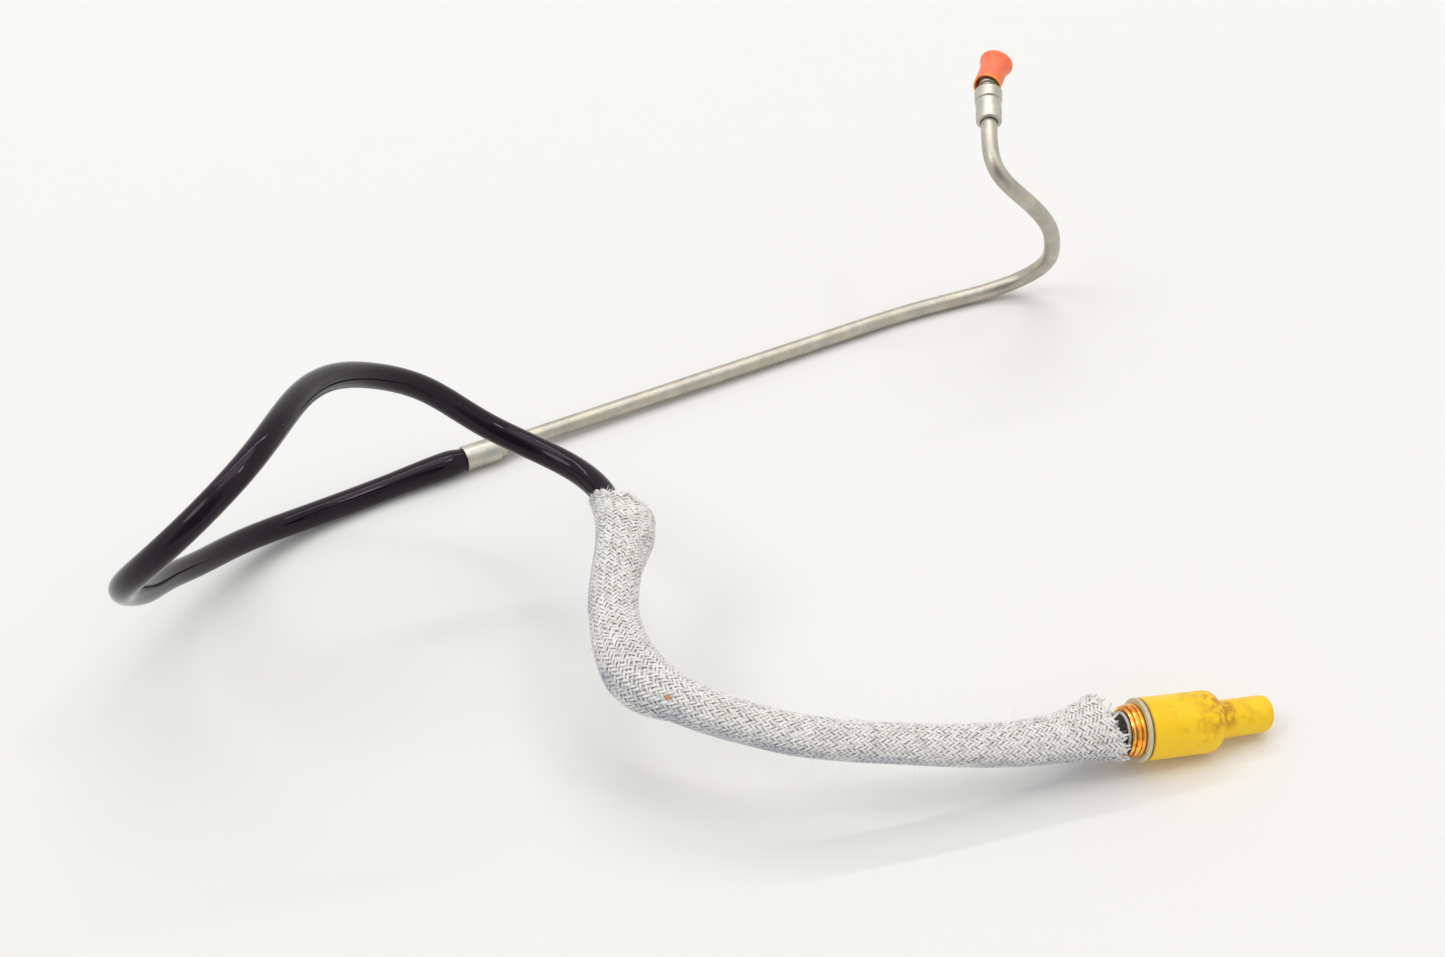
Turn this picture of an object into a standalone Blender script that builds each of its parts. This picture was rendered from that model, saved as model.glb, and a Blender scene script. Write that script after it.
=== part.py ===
"""Hydraulic line: steel pipe, hose, heat sleeve and quick coupling, lying as it rests on a flat surface.

Metres, +Z up, the surface at z = 0. X runs along the line from the hose's loop to the coupling.
Turned pieces are drawn about their own axis: +Z points out of the line at both of its ends.
"""

import math

import bmesh
import bpy
import numpy as np
from mathutils import Matrix, Vector

# Clearances
FIT = 0.0003  # between pieces that touch
FLOOR_GAP = 0.00005  # between the lowest points and the surface

# Steel pipe: corners of its centreline and the bend radius at each inner corner
PIPE_OD = 0.00635
PIPE_WALL = 0.0009
PIPE_INSERT_OD = 0.0050  # swaged end inside the hose
PIPE_INSERT_WALL = 0.0008
PIPE_INSERT_REACH = 0.010  # past the ferrule's mouth, into the hose
PIPE_MOUTH = (-0.0911, 0.0326)  # x, y of the pipe ferrule's mouth
PIPE_CORNERS_ON_TABLE = [(0.0809, 0.128), (0.1401, 0.1521)]
PIPE_CORNERS_RAISED = [(0.1336, 0.1040, 0.0639), (0.1075, 0.0993, 0.0909), (0.1081, 0.1206, 0.0984)]
PIPE_BEND_RADII = [0.060, 0.019, 0.041, 0.0095]
PIPE_SEAT_DEPTH = 0.011  # inside the fitting

# Fitting on the raised end of the pipe
FITTING_SLEEVE_OD = 0.0099
FITTING_SLEEVE_LENGTH = 0.0101
FITTING_COLLAR_STEP = 0.00035  # the collar stands this far out of the sleeve
FITTING_COLLAR_LENGTH = 0.0045
FITTING_EDGE = 0.0007
STUB_OD = 0.0070
STUB_LENGTH = 0.0072
STUB_CONE_STEP = 0.0009  # the cone's end stands this far out of the stub
STUB_CONE_LENGTH = 0.0010
STUB_CHAMFER = 0.0007
STUB_GROOVE_WIDTH = 0.0018
STUB_GROOVE_DEPTH = 0.0007
STUB_GROOVES_AT = [0.0023, 0.0052]  # from the collar: pin groove, seal groove
STUB_BORE = 0.0034

# Red cap, leaning on the stub
RED_CAP_SLACK = 0.00095  # between the stub and the cap's bore
RED_CAP_WALL = 0.00075
RED_CAP_HEAD_STEP = 0.00125  # the head stands this far out of the body
RED_CAP_HEAD_THICKNESS = 0.0015
RED_CAP_LENGTH = 0.0132
RED_CAP_FLARE = 0.0045  # length over which the body widens to the head
RED_CAP_AZIMUTH = math.radians(19.3)  # from +Y towards +X
RED_CAP_RISE = math.radians(11.7)
RED_CAP_DEPTH = 0.0032  # from the stub's end back to where the cap's axis crosses the stub's
RED_CAP_ON_STUB = 0.0004  # from the cap's mouth to that point

# Crimp ferrule between pipe and hose
PIPE_FERRULE_OD = 0.0098
PIPE_FERRULE_WALL = 0.0007
PIPE_FERRULE_LENGTH = 0.0166
PIPE_FERRULE_NECK = 0.0030
PIPE_FERRULE_EDGE = 0.0008

# Hose: the points that its centreline passes between the two ferrules
HOSE_OD = 0.0091
HOSE_BORE = 0.0049
HOSE_BULGE_OD = 0.0101  # beside the pipe ferrule
HOSE_BULGE_END = 0.030  # where the bulge has died out
HOSE_BULGE_REACH = 0.004
HOSE_BORE_FADE = 0.004  # over which the bore widens or narrows at the insert and the nipple
HOSE_ROUTE = [
    (-0.1113, 0.0213, 0.0048), (-0.1323, 0.0083, 0.0047), (-0.1513, -0.0057, 0.0068),
    (-0.1673, -0.0227, 0.012), (-0.1783, -0.0427, 0.020), (-0.1853, -0.0627, 0.031),
    (-0.1883, -0.0837, 0.044), (-0.1893, -0.1017, 0.059), (-0.1863, -0.1187, 0.077),
    (-0.1753, -0.1287, 0.095), (-0.1583, -0.1267, 0.112), (-0.1433, -0.1107, 0.121),
    (-0.1353, -0.0887, 0.121), (-0.1303, -0.0657, 0.115), (-0.1233, -0.0447, 0.105),
    (-0.1123, -0.0277, 0.092), (-0.0963, -0.0177, 0.078), (-0.0773, -0.0177, 0.063),
    (-0.0553, -0.0247, 0.055), (-0.0373, -0.0397, 0.053), (-0.0293, -0.0627, 0.052),
    (-0.0283, -0.0867, 0.049), (-0.0243, -0.1097, 0.046), (-0.0103, -0.1297, 0.043),
    (0.0107, -0.1407, 0.040), (0.0337, -0.1447, 0.036), (0.0577, -0.1427, 0.031),
    (0.0807, -0.1387, 0.0255),
]
HOSE_POINT_SPACING = 0.0120

# Braided heat sleeve over the far half of the hose
SLEEVE_WALL = 0.0008
SLEEVE_CLEAR = 0.0007  # least room left round the hose where the sleeve hangs to one side
SLEEVE_START = (-0.0333, -0.0507, 0.053)  # the point of the hose where it begins
SLEEVE_END_GAP = 0.0105  # from the guard ring back to the middle of its frayed end
SLEEVE_SHAPE = [  # length from the upper end, outer diameter, shift to the outer side of the bend
    (0.000, 0.0190, -0.0016),
    (0.016, 0.0204, -0.0025),
    (0.032, 0.0178, 0.0009),
    (0.052, 0.0174, 0.0031),
    (0.072, 0.0214, 0.0052),
    (0.081, 0.0206, 0.0042),
    (0.092, 0.0156, 0.0018),
    (0.115, 0.0144, 0.0006),
    (0.170, 0.0140, 0.0004),
    (0.205, 0.0156, 0.0002),
    (0.224, 0.0174, -0.0007),
    (0.240, 0.0236, -0.0022),
]
SLEEVE_SAG = 0.45  # how much of the shift is downwards
SLEEVE_MOUTH_SLANT = 0.0065  # the upper opening reaches further back on the outer side
SLEEVE_MOUTH_FADE = 0.030
SLEEVE_TAIL_SLANT = 0.0045  # the lower opening reaches further on along its underside
SLEEVE_TAIL_FADE = 0.024
SLEEVE_TAIL_SIDE = Vector((0.0, 0.64, 0.77))
SLEEVE_STRANDS = 24  # strands round the braid
SLEEVE_STRAND_PITCH = 0.0028  # along the sleeve
SLEEVE_RIDGE = 0.00035
SLEEVE_LINING_STEP = 4  # strand pitches between two rings of the inner face

# Coupling: its axis, with the guard ring's rear face as its zero
COUPLING_PLACE = (0.1449, -0.1209)
COUPLING_AZIMUTH = math.radians(17.5)  # from +X towards +Y
COUPLING_DROP = math.radians(8.0)  # its nose points down by this
FLANGE_STEP = 0.0006  # the flange stands this far out of the body's front part
FLANGE_WIDTH = 0.0014
BEAD_OD = 0.0180
BEAD_WIDTH = 0.0017
BARREL_OD = 0.0172
BARREL_WIDTH = 0.0014
BODY_GROOVE_DEPTH = 0.0005
BODY_GROOVE_WIDTH = 0.0002
BODY_FRONT_OD = 0.0172
BODY_FRONT_LENGTH = 0.0240
BODY_RECESS_DEPTH = 0.0014
SNAP_GROOVE_AT = 0.0120
SNAP_GROOVE_WIDTH = 0.0024
SNAP_GROOVE_DEPTH = 0.0012
PROBE_OD = 0.0100
PROBE_LENGTH = 0.0200
PROBE_CHAMFER = 0.0006
PROBE_END_STEP = 0.0010  # from the probe's side in to its flat end face
PROBE_WALL = 0.0005  # left between the seal groove and the valve's chamber
PORT_BORE = 0.0046
PORT_LENGTH = 0.0032
GUARD_RING_SECTION = 0.0020  # from its bore out to its rim
GUARD_RING_WIDTH = 0.0018
SEAL_WIRE = 0.0013
PROBE_SEAL_FROM_TIP = 0.0055
PROBE_SEAL_GROOVE_DEPTH = 0.0009

# Nipple and ferrule that hold the hose to the coupling
NIPPLE_OD = 0.0046
NIPPLE_BORE = 0.0026
NIPPLE_REACH = 0.0200  # into the hose, behind the body
NIPPLE_BARB = 0.0003
NIPPLE_BARBS = 4
NIPPLE_COLLAR_STEP = 0.0017  # the collar stands this far out of the tube
NIPPLE_COLLAR_WIDTH = 0.0012
NIPPLE_SHANK_OD = 0.0066
NIPPLE_SHANK_LENGTH = 0.0105
HOSE_FERRULE_WALL = 0.00145
HOSE_FERRULE_LENGTH = 0.0190
HOSE_FERRULE_LIP_STEP = 0.0007  # the lip stands this far out of the ferrule
HOSE_FERRULE_LIP_WIDTH = 0.0016
HOSE_FERRULE_CRIMPS = 3
HOSE_FERRULE_CRIMP_DEPTH = 0.0004

# Valve in the probe
SPRING_SEAT_THICKNESS = 0.0012
SPRING_SEAT_BORE = 0.0024
SPRING_MEAN_OD = 0.0050
SPRING_WIRE = 0.0006
SPRING_TURNS = 5
SPRING_POINTS_PER_TURN = 10
POPPET_CLEAR = 0.0004  # between the poppet and its chamber
POPPET_LENGTH = 0.0085
POPPET_PIN_OD = 0.0030
POPPET_PIN_PROUD = 0.0004  # of the probe's end face
POPPET_GUIDE_CLEAR = 0.0005  # between the guide and the spring
POPPET_GUIDE_LENGTH = 0.0080
POPPET_SEAL_SEAT_OD = 0.0044

# Yellow cap
YELLOW_CAP_CLEAR = 0.0005  # between the body's front part and the cap's bore
YELLOW_CAP_WALL = 0.0016
YELLOW_CAP_GAP = 0.0004  # from the guard ring to the cap's rim
YELLOW_CAP_OVERHANG = 0.0010  # from the body's front part to where the shoulder starts to round
YELLOW_CAP_SHOULDER_LENGTH = 0.0065
YELLOW_NOSE_CLEAR = 0.0004  # between the probe and the nose's bore
YELLOW_NOSE_WALL = 0.00115
YELLOW_NOSE_TAPER = 0.0002  # the nose narrows by this towards its tip
YELLOW_NOSE_ROOM = 0.0052  # past the probe's end, inside the nose
YELLOW_TIP_THICKNESS = 0.0013
YELLOW_EDGE = 0.0026

# Facets
ROUND_TURNED = 24
ROUND_HIDDEN = 16
TUBE_RESOLUTION = 4  # 12 sides
BORE_RESOLUTION = 2  # 8 sides
WIRE_RESOLUTION = 2
ARC_STEPS = 7
FILLET_STEPS = 2


def clear_scene():
    for thing in list(bpy.data.objects):
        bpy.data.objects.remove(thing, do_unlink=True)


def new_collection(name):
    group = bpy.data.collections.new(name)
    bpy.context.scene.collection.children.link(group)
    return group


def material(name, color, roughness, metallic=0.0):
    surface = bpy.data.materials.new(name)
    surface.use_nodes = True
    surface.diffuse_color = (*color, 1.0)
    shader = surface.node_tree.nodes["Principled BSDF"]
    shader.inputs["Base Color"].default_value = (*color, 1.0)
    shader.inputs["Roughness"].default_value = roughness
    shader.inputs["Metallic"].default_value = metallic
    return surface


def shade_round(mesh, sharp_degrees=35):
    mesh.shade_smooth()
    mesh.set_sharp_from_angle(angle=math.radians(sharp_degrees))


# Axes and frames


def axis_frame(origin, axis):
    """A matrix that puts a piece drawn about +Z at origin, with +Z along axis."""
    turn = Vector((0.0, 0.0, 1.0)).rotation_difference(Vector(axis))
    return Matrix.Translation(Vector(origin)) @ turn.to_matrix().to_4x4()


def direction(azimuth_from_x, rise):
    return Vector(
        (
            math.cos(azimuth_from_x) * math.cos(rise),
            math.sin(azimuth_from_x) * math.cos(rise),
            math.sin(rise),
        )
    )


def coupling_frame():
    """The coupling lies on its cap's shoulder, so its height follows from the cap."""
    axis = direction(COUPLING_AZIMUTH, -COUPLING_DROP)
    shoulder = BODY_FRONT_LENGTH + YELLOW_CAP_OVERHANG
    lift = yellow_cap_radii()[1] * math.cos(COUPLING_DROP) + shoulder * math.sin(COUPLING_DROP)
    height = lift + FLOOR_GAP
    return axis_frame((*COUPLING_PLACE, height), axis)


# Routes


def smooth_route(points, spacing):
    """Points about a spacing apart on the natural cubic spline through the given points."""
    given = np.array([tuple(p) for p in points], dtype=float)
    knots = np.concatenate([[0.0], np.cumsum(np.linalg.norm(np.diff(given, axis=0), axis=1))])
    gaps = np.diff(knots)
    count = len(given)
    system = np.eye(count)
    right = np.zeros((count, 3))
    slopes = np.diff(given, axis=0) / gaps[:, None]
    for i in range(1, count - 1):
        system[i, i - 1 : i + 2] = gaps[i - 1], 2 * (gaps[i - 1] + gaps[i]), gaps[i]
        right[i] = 6 * (slopes[i] - slopes[i - 1])
    bends = np.linalg.solve(system, right)
    fine = []
    for i, gap in enumerate(gaps):
        for t in np.linspace(0.0, gap, 24, endpoint=(i == count - 2)):
            u = gap - t
            cubic = (bends[i] * u**3 + bends[i + 1] * t**3) / (6 * gap)
            start = (given[i] / gap - bends[i] * gap / 6) * u
            stop = (given[i + 1] / gap - bends[i + 1] * gap / 6) * t
            fine.append(cubic + start + stop)
    return resampled(np.array(fine), spacing)


def lengths_along(points):
    steps = np.linalg.norm(np.diff(points, axis=0), axis=1)
    return np.concatenate([[0.0], np.cumsum(steps)])


def resampled(points, spacing):
    along = lengths_along(points)
    count = max(2, int(round(along[-1] / spacing)) + 1)
    even = np.linspace(0.0, along[-1], count)
    return np.stack([np.interp(even, along, points[:, k]) for k in range(3)], axis=1)


def rounded_corners(corners, radii):
    """A polyline with an arc of the given radius at each inner corner."""
    corners = [Vector(c) for c in corners]
    line = [corners[0]]
    for before, corner, after, radius in zip(corners, corners[1:], corners[2:], radii):
        back = (before - corner).normalized()
        on = (after - corner).normalized()
        half = back.angle(on) / 2
        tangent = radius / math.tan(half)
        centre = corner + (back + on).normalized() * radius / math.sin(half)
        first = corner + back * tangent - centre
        turn_axis = first.cross(corner + on * tangent - centre).normalized()
        for k in range(ARC_STEPS + 1):
            turn = Matrix.Rotation((math.pi - 2 * half) * k / ARC_STEPS, 3, turn_axis)
            line.append(centre + turn @ first)
    line.append(corners[-1])
    return line


def pipe_axis_at_mouth():
    """The pipe ferrule's mouth, and the unit vector from there along the pipe."""
    mouth = Vector((*PIPE_MOUTH, HOSE_BULGE_OD / 2 + FLOOR_GAP))
    first = Vector((*PIPE_CORNERS_ON_TABLE[0], PIPE_OD / 2 + FLOOR_GAP))
    return mouth, (first - mouth).normalized()


def pipe_corners():
    """The pipe's corners, from the end in the hose to the end seated in the fitting."""
    mouth, along = pipe_axis_at_mouth()
    resting = [Vector((x, y, PIPE_OD / 2 + FLOOR_GAP)) for x, y in PIPE_CORNERS_ON_TABLE]
    raised = [Vector(c) for c in PIPE_CORNERS_RAISED]
    out = (raised[-1] - raised[-2]).normalized()
    start = mouth - along * PIPE_INSERT_REACH
    return [start, *resting, *raised[:-1], raised[-1] + out * PIPE_SEAT_DEPTH]


def fitting_frame():
    """The fitting's rear face, where the pipe goes in, with +Z out of the stub."""
    before, rear = (Vector(c) for c in PIPE_CORNERS_RAISED[-2:])
    return axis_frame(rear, (rear - before).normalized())


# Tubes


def tube_mesh(name, points, radii, resolution, sheet):
    """A closed tube with flat ends about the points, made as a bevelled curve and turned to a mesh."""
    curve = bpy.data.curves.new(name, "CURVE")
    curve.dimensions = "3D"
    curve.bevel_depth = 1.0
    curve.bevel_resolution = resolution
    curve.use_fill_caps = True
    spline = curve.splines.new("POLY")
    spline.points.add(len(points) - 1)
    for point, place, radius in zip(spline.points, points, radii):
        point.co = (*place, 1.0)
        point.radius = radius
    guide = bpy.data.objects.new(name + "_line", curve)
    sheet.objects.link(guide)
    bpy.context.view_layer.update()
    graph = bpy.context.evaluated_depsgraph_get()
    mesh = bpy.data.meshes.new_from_object(guide.evaluated_get(graph))
    bpy.data.objects.remove(guide, do_unlink=True)
    mesh.name = name
    work = bmesh.new()
    work.from_mesh(mesh)
    bmesh.ops.remove_doubles(work, verts=work.verts, dist=1e-6)
    bmesh.ops.recalc_face_normals(work, faces=work.faces)
    work.to_mesh(mesh)
    work.free()
    mesh.materials.clear()
    return mesh


def bored_tube(name, points, radii, bore_radii, surface, parts, cutters):
    """A tube along the points with a bore along all of it."""
    body = bpy.data.objects.new(name, tube_mesh(name, points, radii, TUBE_RESOLUTION, parts))
    parts.objects.link(body)
    body.data.materials.append(surface)
    run_out = 0.002
    points = [Vector(p) for p in points]
    first = points[0] - (points[1] - points[0]).normalized() * run_out
    last = points[-1] + (points[-1] - points[-2]).normalized() * run_out
    bore_points = [first, *points[1:-1], last]
    cut(body, tube_mesh(name + "_bore", bore_points, bore_radii, BORE_RESOLUTION, parts), cutters)
    shade_round(body.data)
    return body


def cut(body, mesh, cutters):
    cutter = bpy.data.objects.new(mesh.name, mesh)
    cutter.hide_render = True
    cutter.display_type = "WIRE"
    cutters.objects.link(cutter)
    boolean = body.modifiers.new(mesh.name, "BOOLEAN")
    boolean.operation = "DIFFERENCE"
    boolean.solver = "EXACT"
    boolean.object = cutter


# Turned pieces


def outline(corners):
    """A profile from (radius, height) or (radius, height, fillet) corners, fillets as short arcs."""
    line = []
    for i, corner in enumerate(corners):
        here = Vector(corner[:2])
        if len(corner) < 3:
            line.append(here)
            continue
        back = Vector(corners[i - 1][:2]) - here
        on = Vector(corners[(i + 1) % len(corners)][:2]) - here
        half = back.angle(on) / 2
        tangent = min(corner[2] / math.tan(half), 0.49 * back.length, 0.49 * on.length)
        radius = tangent * math.tan(half)
        centre = here + (back.normalized() + on.normalized()).normalized() * radius / math.sin(half)
        first = here + back.normalized() * tangent - centre
        last = here + on.normalized() * tangent - centre
        sweep = first.angle_signed(last)
        for k in range(FILLET_STEPS + 1):
            turned_by = Matrix.Rotation(-sweep * k / FILLET_STEPS, 2)
            line.append(centre + turned_by @ first)
    return line


def turned(name, corners, frame, surface, parts, closed=True, segments=ROUND_TURNED):
    """A turned piece. Its profile runs down the outer side and, where closed, up the bore."""
    points = outline(corners)
    mesh = bpy.data.meshes.new(name)
    edges = [(i, i + 1) for i in range(len(points) - 1)]
    if closed:
        edges.append((len(points) - 1, 0))
    mesh.from_pydata([(p.x, 0.0, p.y) for p in points], edges, [])
    mesh.materials.append(surface)
    piece = bpy.data.objects.new(name, mesh)
    piece.matrix_world = frame
    parts.objects.link(piece)
    screw = piece.modifiers.new("turn", "SCREW")
    screw.axis = "Z"
    screw.angle = 2 * math.pi
    screw.steps = segments
    screw.render_steps = segments
    screw.use_merge_vertices = True
    screw.merge_threshold = 1e-6
    screw.use_smooth_shade = True
    return piece


def o_ring(name, seat_radius, height, wire, frame, surface, parts):
    """A rubber ring seated on a groove's floor, its section a circle of six points."""
    middle = seat_radius + FIT + wire / 2
    sides = 6
    section = []
    for k in range(sides):
        angle = math.pi / 2 - 2 * math.pi * k / sides
        section.append((middle + wire / 2 * math.cos(angle), height + wire / 2 * math.sin(angle)))
    return turned(name, section, frame, surface, parts, segments=ROUND_HIDDEN)


# Pipe end


def pipe_stations():
    """Centreline points of the pipe, with extra ones where the end in the hose is swaged down."""
    line = rounded_corners(pipe_corners(), PIPE_BEND_RADII)
    along = (line[1] - line[0]).normalized()
    taper_end = PIPE_INSERT_REACH + PIPE_FERRULE_LENGTH - PIPE_FERRULE_NECK
    taper_start = taper_end - (PIPE_OD - PIPE_INSERT_OD)
    stations = [line[0], line[0] + along * taper_start, line[0] + along * taper_end, *line[1:]]
    outer = [PIPE_INSERT_OD / 2] * 2 + [PIPE_OD / 2] * (len(stations) - 2)
    thin = PIPE_INSERT_OD / 2 - PIPE_INSERT_WALL
    inner = [thin] * 2 + [PIPE_OD / 2 - PIPE_WALL] * (len(stations) - 2)
    return stations, outer, inner


def hose_start():
    """How far from the ferrule's mouth, along the pipe, the hose's end lies."""
    taper = PIPE_OD - PIPE_INSERT_OD
    return PIPE_FERRULE_LENGTH - PIPE_FERRULE_NECK - taper - FIT


def add_pipe(parts, cutters, zinc):
    stations, outer, inner = pipe_stations()
    bored_tube("steel_pipe", stations, outer, inner, zinc, parts, cutters)


def add_pipe_ferrule(parts, zinc):
    mouth, along = pipe_axis_at_mouth()
    outer = PIPE_FERRULE_OD / 2
    top = PIPE_FERRULE_LENGTH
    shelf = top - PIPE_FERRULE_NECK + FIT
    neck = PIPE_OD / 2 + FIT
    wide = outer - PIPE_FERRULE_WALL
    profile = [
        (neck + PIPE_FERRULE_WALL, top),
        (outer, shelf, PIPE_FERRULE_EDGE),
        (outer, 0.0, PIPE_FERRULE_WALL / 3),
        (wide, 0.0),
        (wide, shelf),
        (neck, shelf),
        (neck, top),
    ]
    turned("pipe_ferrule", profile, axis_frame(mouth, along), zinc, parts)


def add_fitting(parts, zinc):
    sleeve = FITTING_SLEEVE_OD / 2
    collar = sleeve + FITTING_COLLAR_STEP
    seat_end = PIPE_SEAT_DEPTH + FIT
    collar_at = FITTING_SLEEVE_LENGTH
    face = collar_at + FITTING_COLLAR_LENGTH
    stub = STUB_OD / 2
    tip = face + STUB_LENGTH
    floor = stub - STUB_GROOVE_DEPTH
    profile = [(stub - STUB_CHAMFER, tip), (stub, tip - STUB_CHAMFER)]
    for middle in sorted(STUB_GROOVES_AT, reverse=True):
        top = face + middle + STUB_GROOVE_WIDTH / 2
        low = face + middle - STUB_GROOVE_WIDTH / 2
        profile += [(stub, top), (floor, top), (floor, low), (stub, low)]
    profile += [
        (stub, face + STUB_CONE_LENGTH),
        (stub + STUB_CONE_STEP, face + STUB_CONE_LENGTH),
        (collar, face),
        (collar, collar_at),
        (sleeve, collar_at - (collar - sleeve)),
        (sleeve, 0.0, FITTING_EDGE),
        (PIPE_OD / 2 + FIT, 0.0),
        (PIPE_OD / 2 + FIT, seat_end),
        (STUB_BORE / 2, seat_end),
        (STUB_BORE / 2, tip),
    ]
    turned("pipe_fitting", profile, fitting_frame(), zinc, parts)


def red_cap_frame():
    """The cap's mouth. It leans on the stub: its axis crosses the stub's near the stub's end."""
    fitting = fitting_frame()
    along = fitting.to_3x3() @ Vector((0.0, 0.0, 1.0))
    face = FITTING_SLEEVE_LENGTH + FITTING_COLLAR_LENGTH
    pivot = fitting.translation + along * (face + STUB_LENGTH - RED_CAP_DEPTH)
    axis = direction(math.pi / 2 - RED_CAP_AZIMUTH, RED_CAP_RISE)
    return axis_frame(pivot - axis * RED_CAP_ON_STUB, axis)


def add_red_cap(parts, red):
    bore = STUB_OD / 2 + RED_CAP_SLACK
    body = bore + RED_CAP_WALL
    head = body + RED_CAP_HEAD_STEP
    under_head = RED_CAP_LENGTH - RED_CAP_HEAD_THICKNESS
    profile = [
        (0.0, RED_CAP_LENGTH),
        (head, RED_CAP_LENGTH, RED_CAP_HEAD_THICKNESS / 3),
        (head, under_head, RED_CAP_HEAD_THICKNESS / 3),
        (body + (head - body) * 0.35, under_head - RED_CAP_FLARE * 0.4),
        (body, under_head - RED_CAP_FLARE),
        (body, 0.0, RED_CAP_WALL / 3),
        (bore, 0.0),
        (bore, under_head),
        (0.0, under_head),
    ]
    turned("red_cap", profile, red_cap_frame(), red, parts, closed=False)


# Hose and sleeve


def hose_line():
    """The hose's centreline, from its end in the pipe ferrule to its end at the nipple's collar."""
    mouth, along = pipe_axis_at_mouth()
    coupling = coupling_frame()
    back = coupling.to_3x3() @ Vector((0.0, 0.0, -1.0))
    end = coupling.translation + back * hose_end()
    lead_in = [mouth + along * hose_start(), mouth, mouth - along * PIPE_INSERT_REACH]
    lead_out = [end + back * NIPPLE_REACH, end + back * NIPPLE_REACH / 2, end]
    return smooth_route([*lead_in, *HOSE_ROUTE, *lead_out], HOSE_POINT_SPACING)


def hose_end():
    """From the coupling's zero back to the hose's end, which stops at the nipple's collar."""
    return ferrule_front() + NIPPLE_COLLAR_WIDTH + 2 * FIT


def ferrule_front():
    """From the coupling's zero back to the front face of the hose ferrule, inside the recess."""
    return body_rear() - BODY_RECESS_DEPTH + FIT


def body_rear():
    """From the coupling's zero back to the rear face of its body."""
    return FLANGE_WIDTH + BEAD_WIDTH + BARREL_WIDTH + 2 * BODY_GROOVE_WIDTH


def hose_radii(line):
    """Outer and bore radius at each point: gripped at the ferrules, bulged beside the first one."""
    along = lengths_along(line)
    total = along[-1]
    gripped = PIPE_FERRULE_OD / 2 - PIPE_FERRULE_WALL - FIT
    start = hose_start()
    plain, bulge = HOSE_OD / 2, HOSE_BULGE_OD / 2
    outer = np.interp(
        along,
        [start, start + HOSE_BULGE_REACH, start + PIPE_INSERT_REACH, start + HOSE_BULGE_END],
        [gripped, bulge, bulge, plain],
    )
    on_insert = PIPE_INSERT_OD / 2 + FIT
    on_nipple = NIPPLE_OD / 2 + NIPPLE_BARB + FIT
    insert_end = start + PIPE_INSERT_REACH
    nipple_start = total - NIPPLE_REACH
    fade = HOSE_BORE_FADE
    bore = np.interp(
        along,
        [insert_end + FIT, insert_end + fade, nipple_start - fade, nipple_start - FIT],
        [on_insert, HOSE_BORE / 2, HOSE_BORE / 2, on_nipple],
    )
    return outer, bore


def with_stations(line, places):
    """The line with extra points at the given lengths along it, so that its radius can change there."""
    along = lengths_along(line)
    wanted = np.unique(np.round(np.concatenate([along, places]), 6))
    wanted = wanted[np.concatenate([[True], np.diff(wanted) > 4e-4])]
    return np.stack([np.interp(wanted, along, line[:, k]) for k in range(3)], axis=1)


def add_hose(parts, cutters, black):
    line = hose_line()
    start = hose_start()
    total = lengths_along(line)[-1]
    places = [
        start,
        start + HOSE_BULGE_REACH,
        start + PIPE_INSERT_REACH,
        start + PIPE_INSERT_REACH + HOSE_BORE_FADE,
        total - NIPPLE_REACH - HOSE_BORE_FADE,
        total - NIPPLE_REACH - FIT,
    ]
    line = with_stations(line, places)
    outer, bore = hose_radii(line)
    bored_tube("hose", [Vector(p) for p in line], outer, bore, black, parts, cutters)


def sleeve_line():
    """The part of the hose's line that the sleeve covers, one point for each strand crossing."""
    line = hose_line()
    first = int(np.argmin(np.linalg.norm(line - np.array(SLEEVE_START), axis=1)))
    along = lengths_along(line[first:])
    behind_ring = SLEEVE_END_GAP - hose_end()
    covered = along[-1] - behind_ring
    count = int(round(covered / SLEEVE_STRAND_PITCH)) + 1
    even = np.linspace(0.0, covered, count)
    return np.stack([np.interp(even, along, line[first:, k]) for k in range(3)], axis=1)


def carried_frames(line):
    """Two unit vectors across the line at each point, carried along it without twist."""
    tangents = [Vector(t).normalized() for t in np.gradient(line, axis=0)]
    side = tangents[0].cross(Vector((0.0, 0.0, 1.0))).normalized()
    frames = []
    for tangent in tangents:
        side = (side - tangent * side.dot(tangent)).normalized()
        frames.append((side, tangent.cross(side), tangent))
    return frames


def sleeve_shape(along):
    """The braid's outer radius and its shift at each length along it, without kinks."""
    places, diameters, shifts = (np.array(column) for column in zip(*SLEEVE_SHAPE))
    spread = np.array([1, 2, 3, 2, 1]) / 9
    shapes = []
    for values in (diameters / 2, shifts):
        padded = np.pad(np.interp(along, places, values), 2, mode="edge")
        shapes.append(np.convolve(padded, spread, mode="valid"))
    radii, shifts = shapes
    slack = radii - SLEEVE_WALL - HOSE_OD / 2 - SLEEVE_CLEAR
    return radii, np.clip(shifts, -slack, slack)


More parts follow.
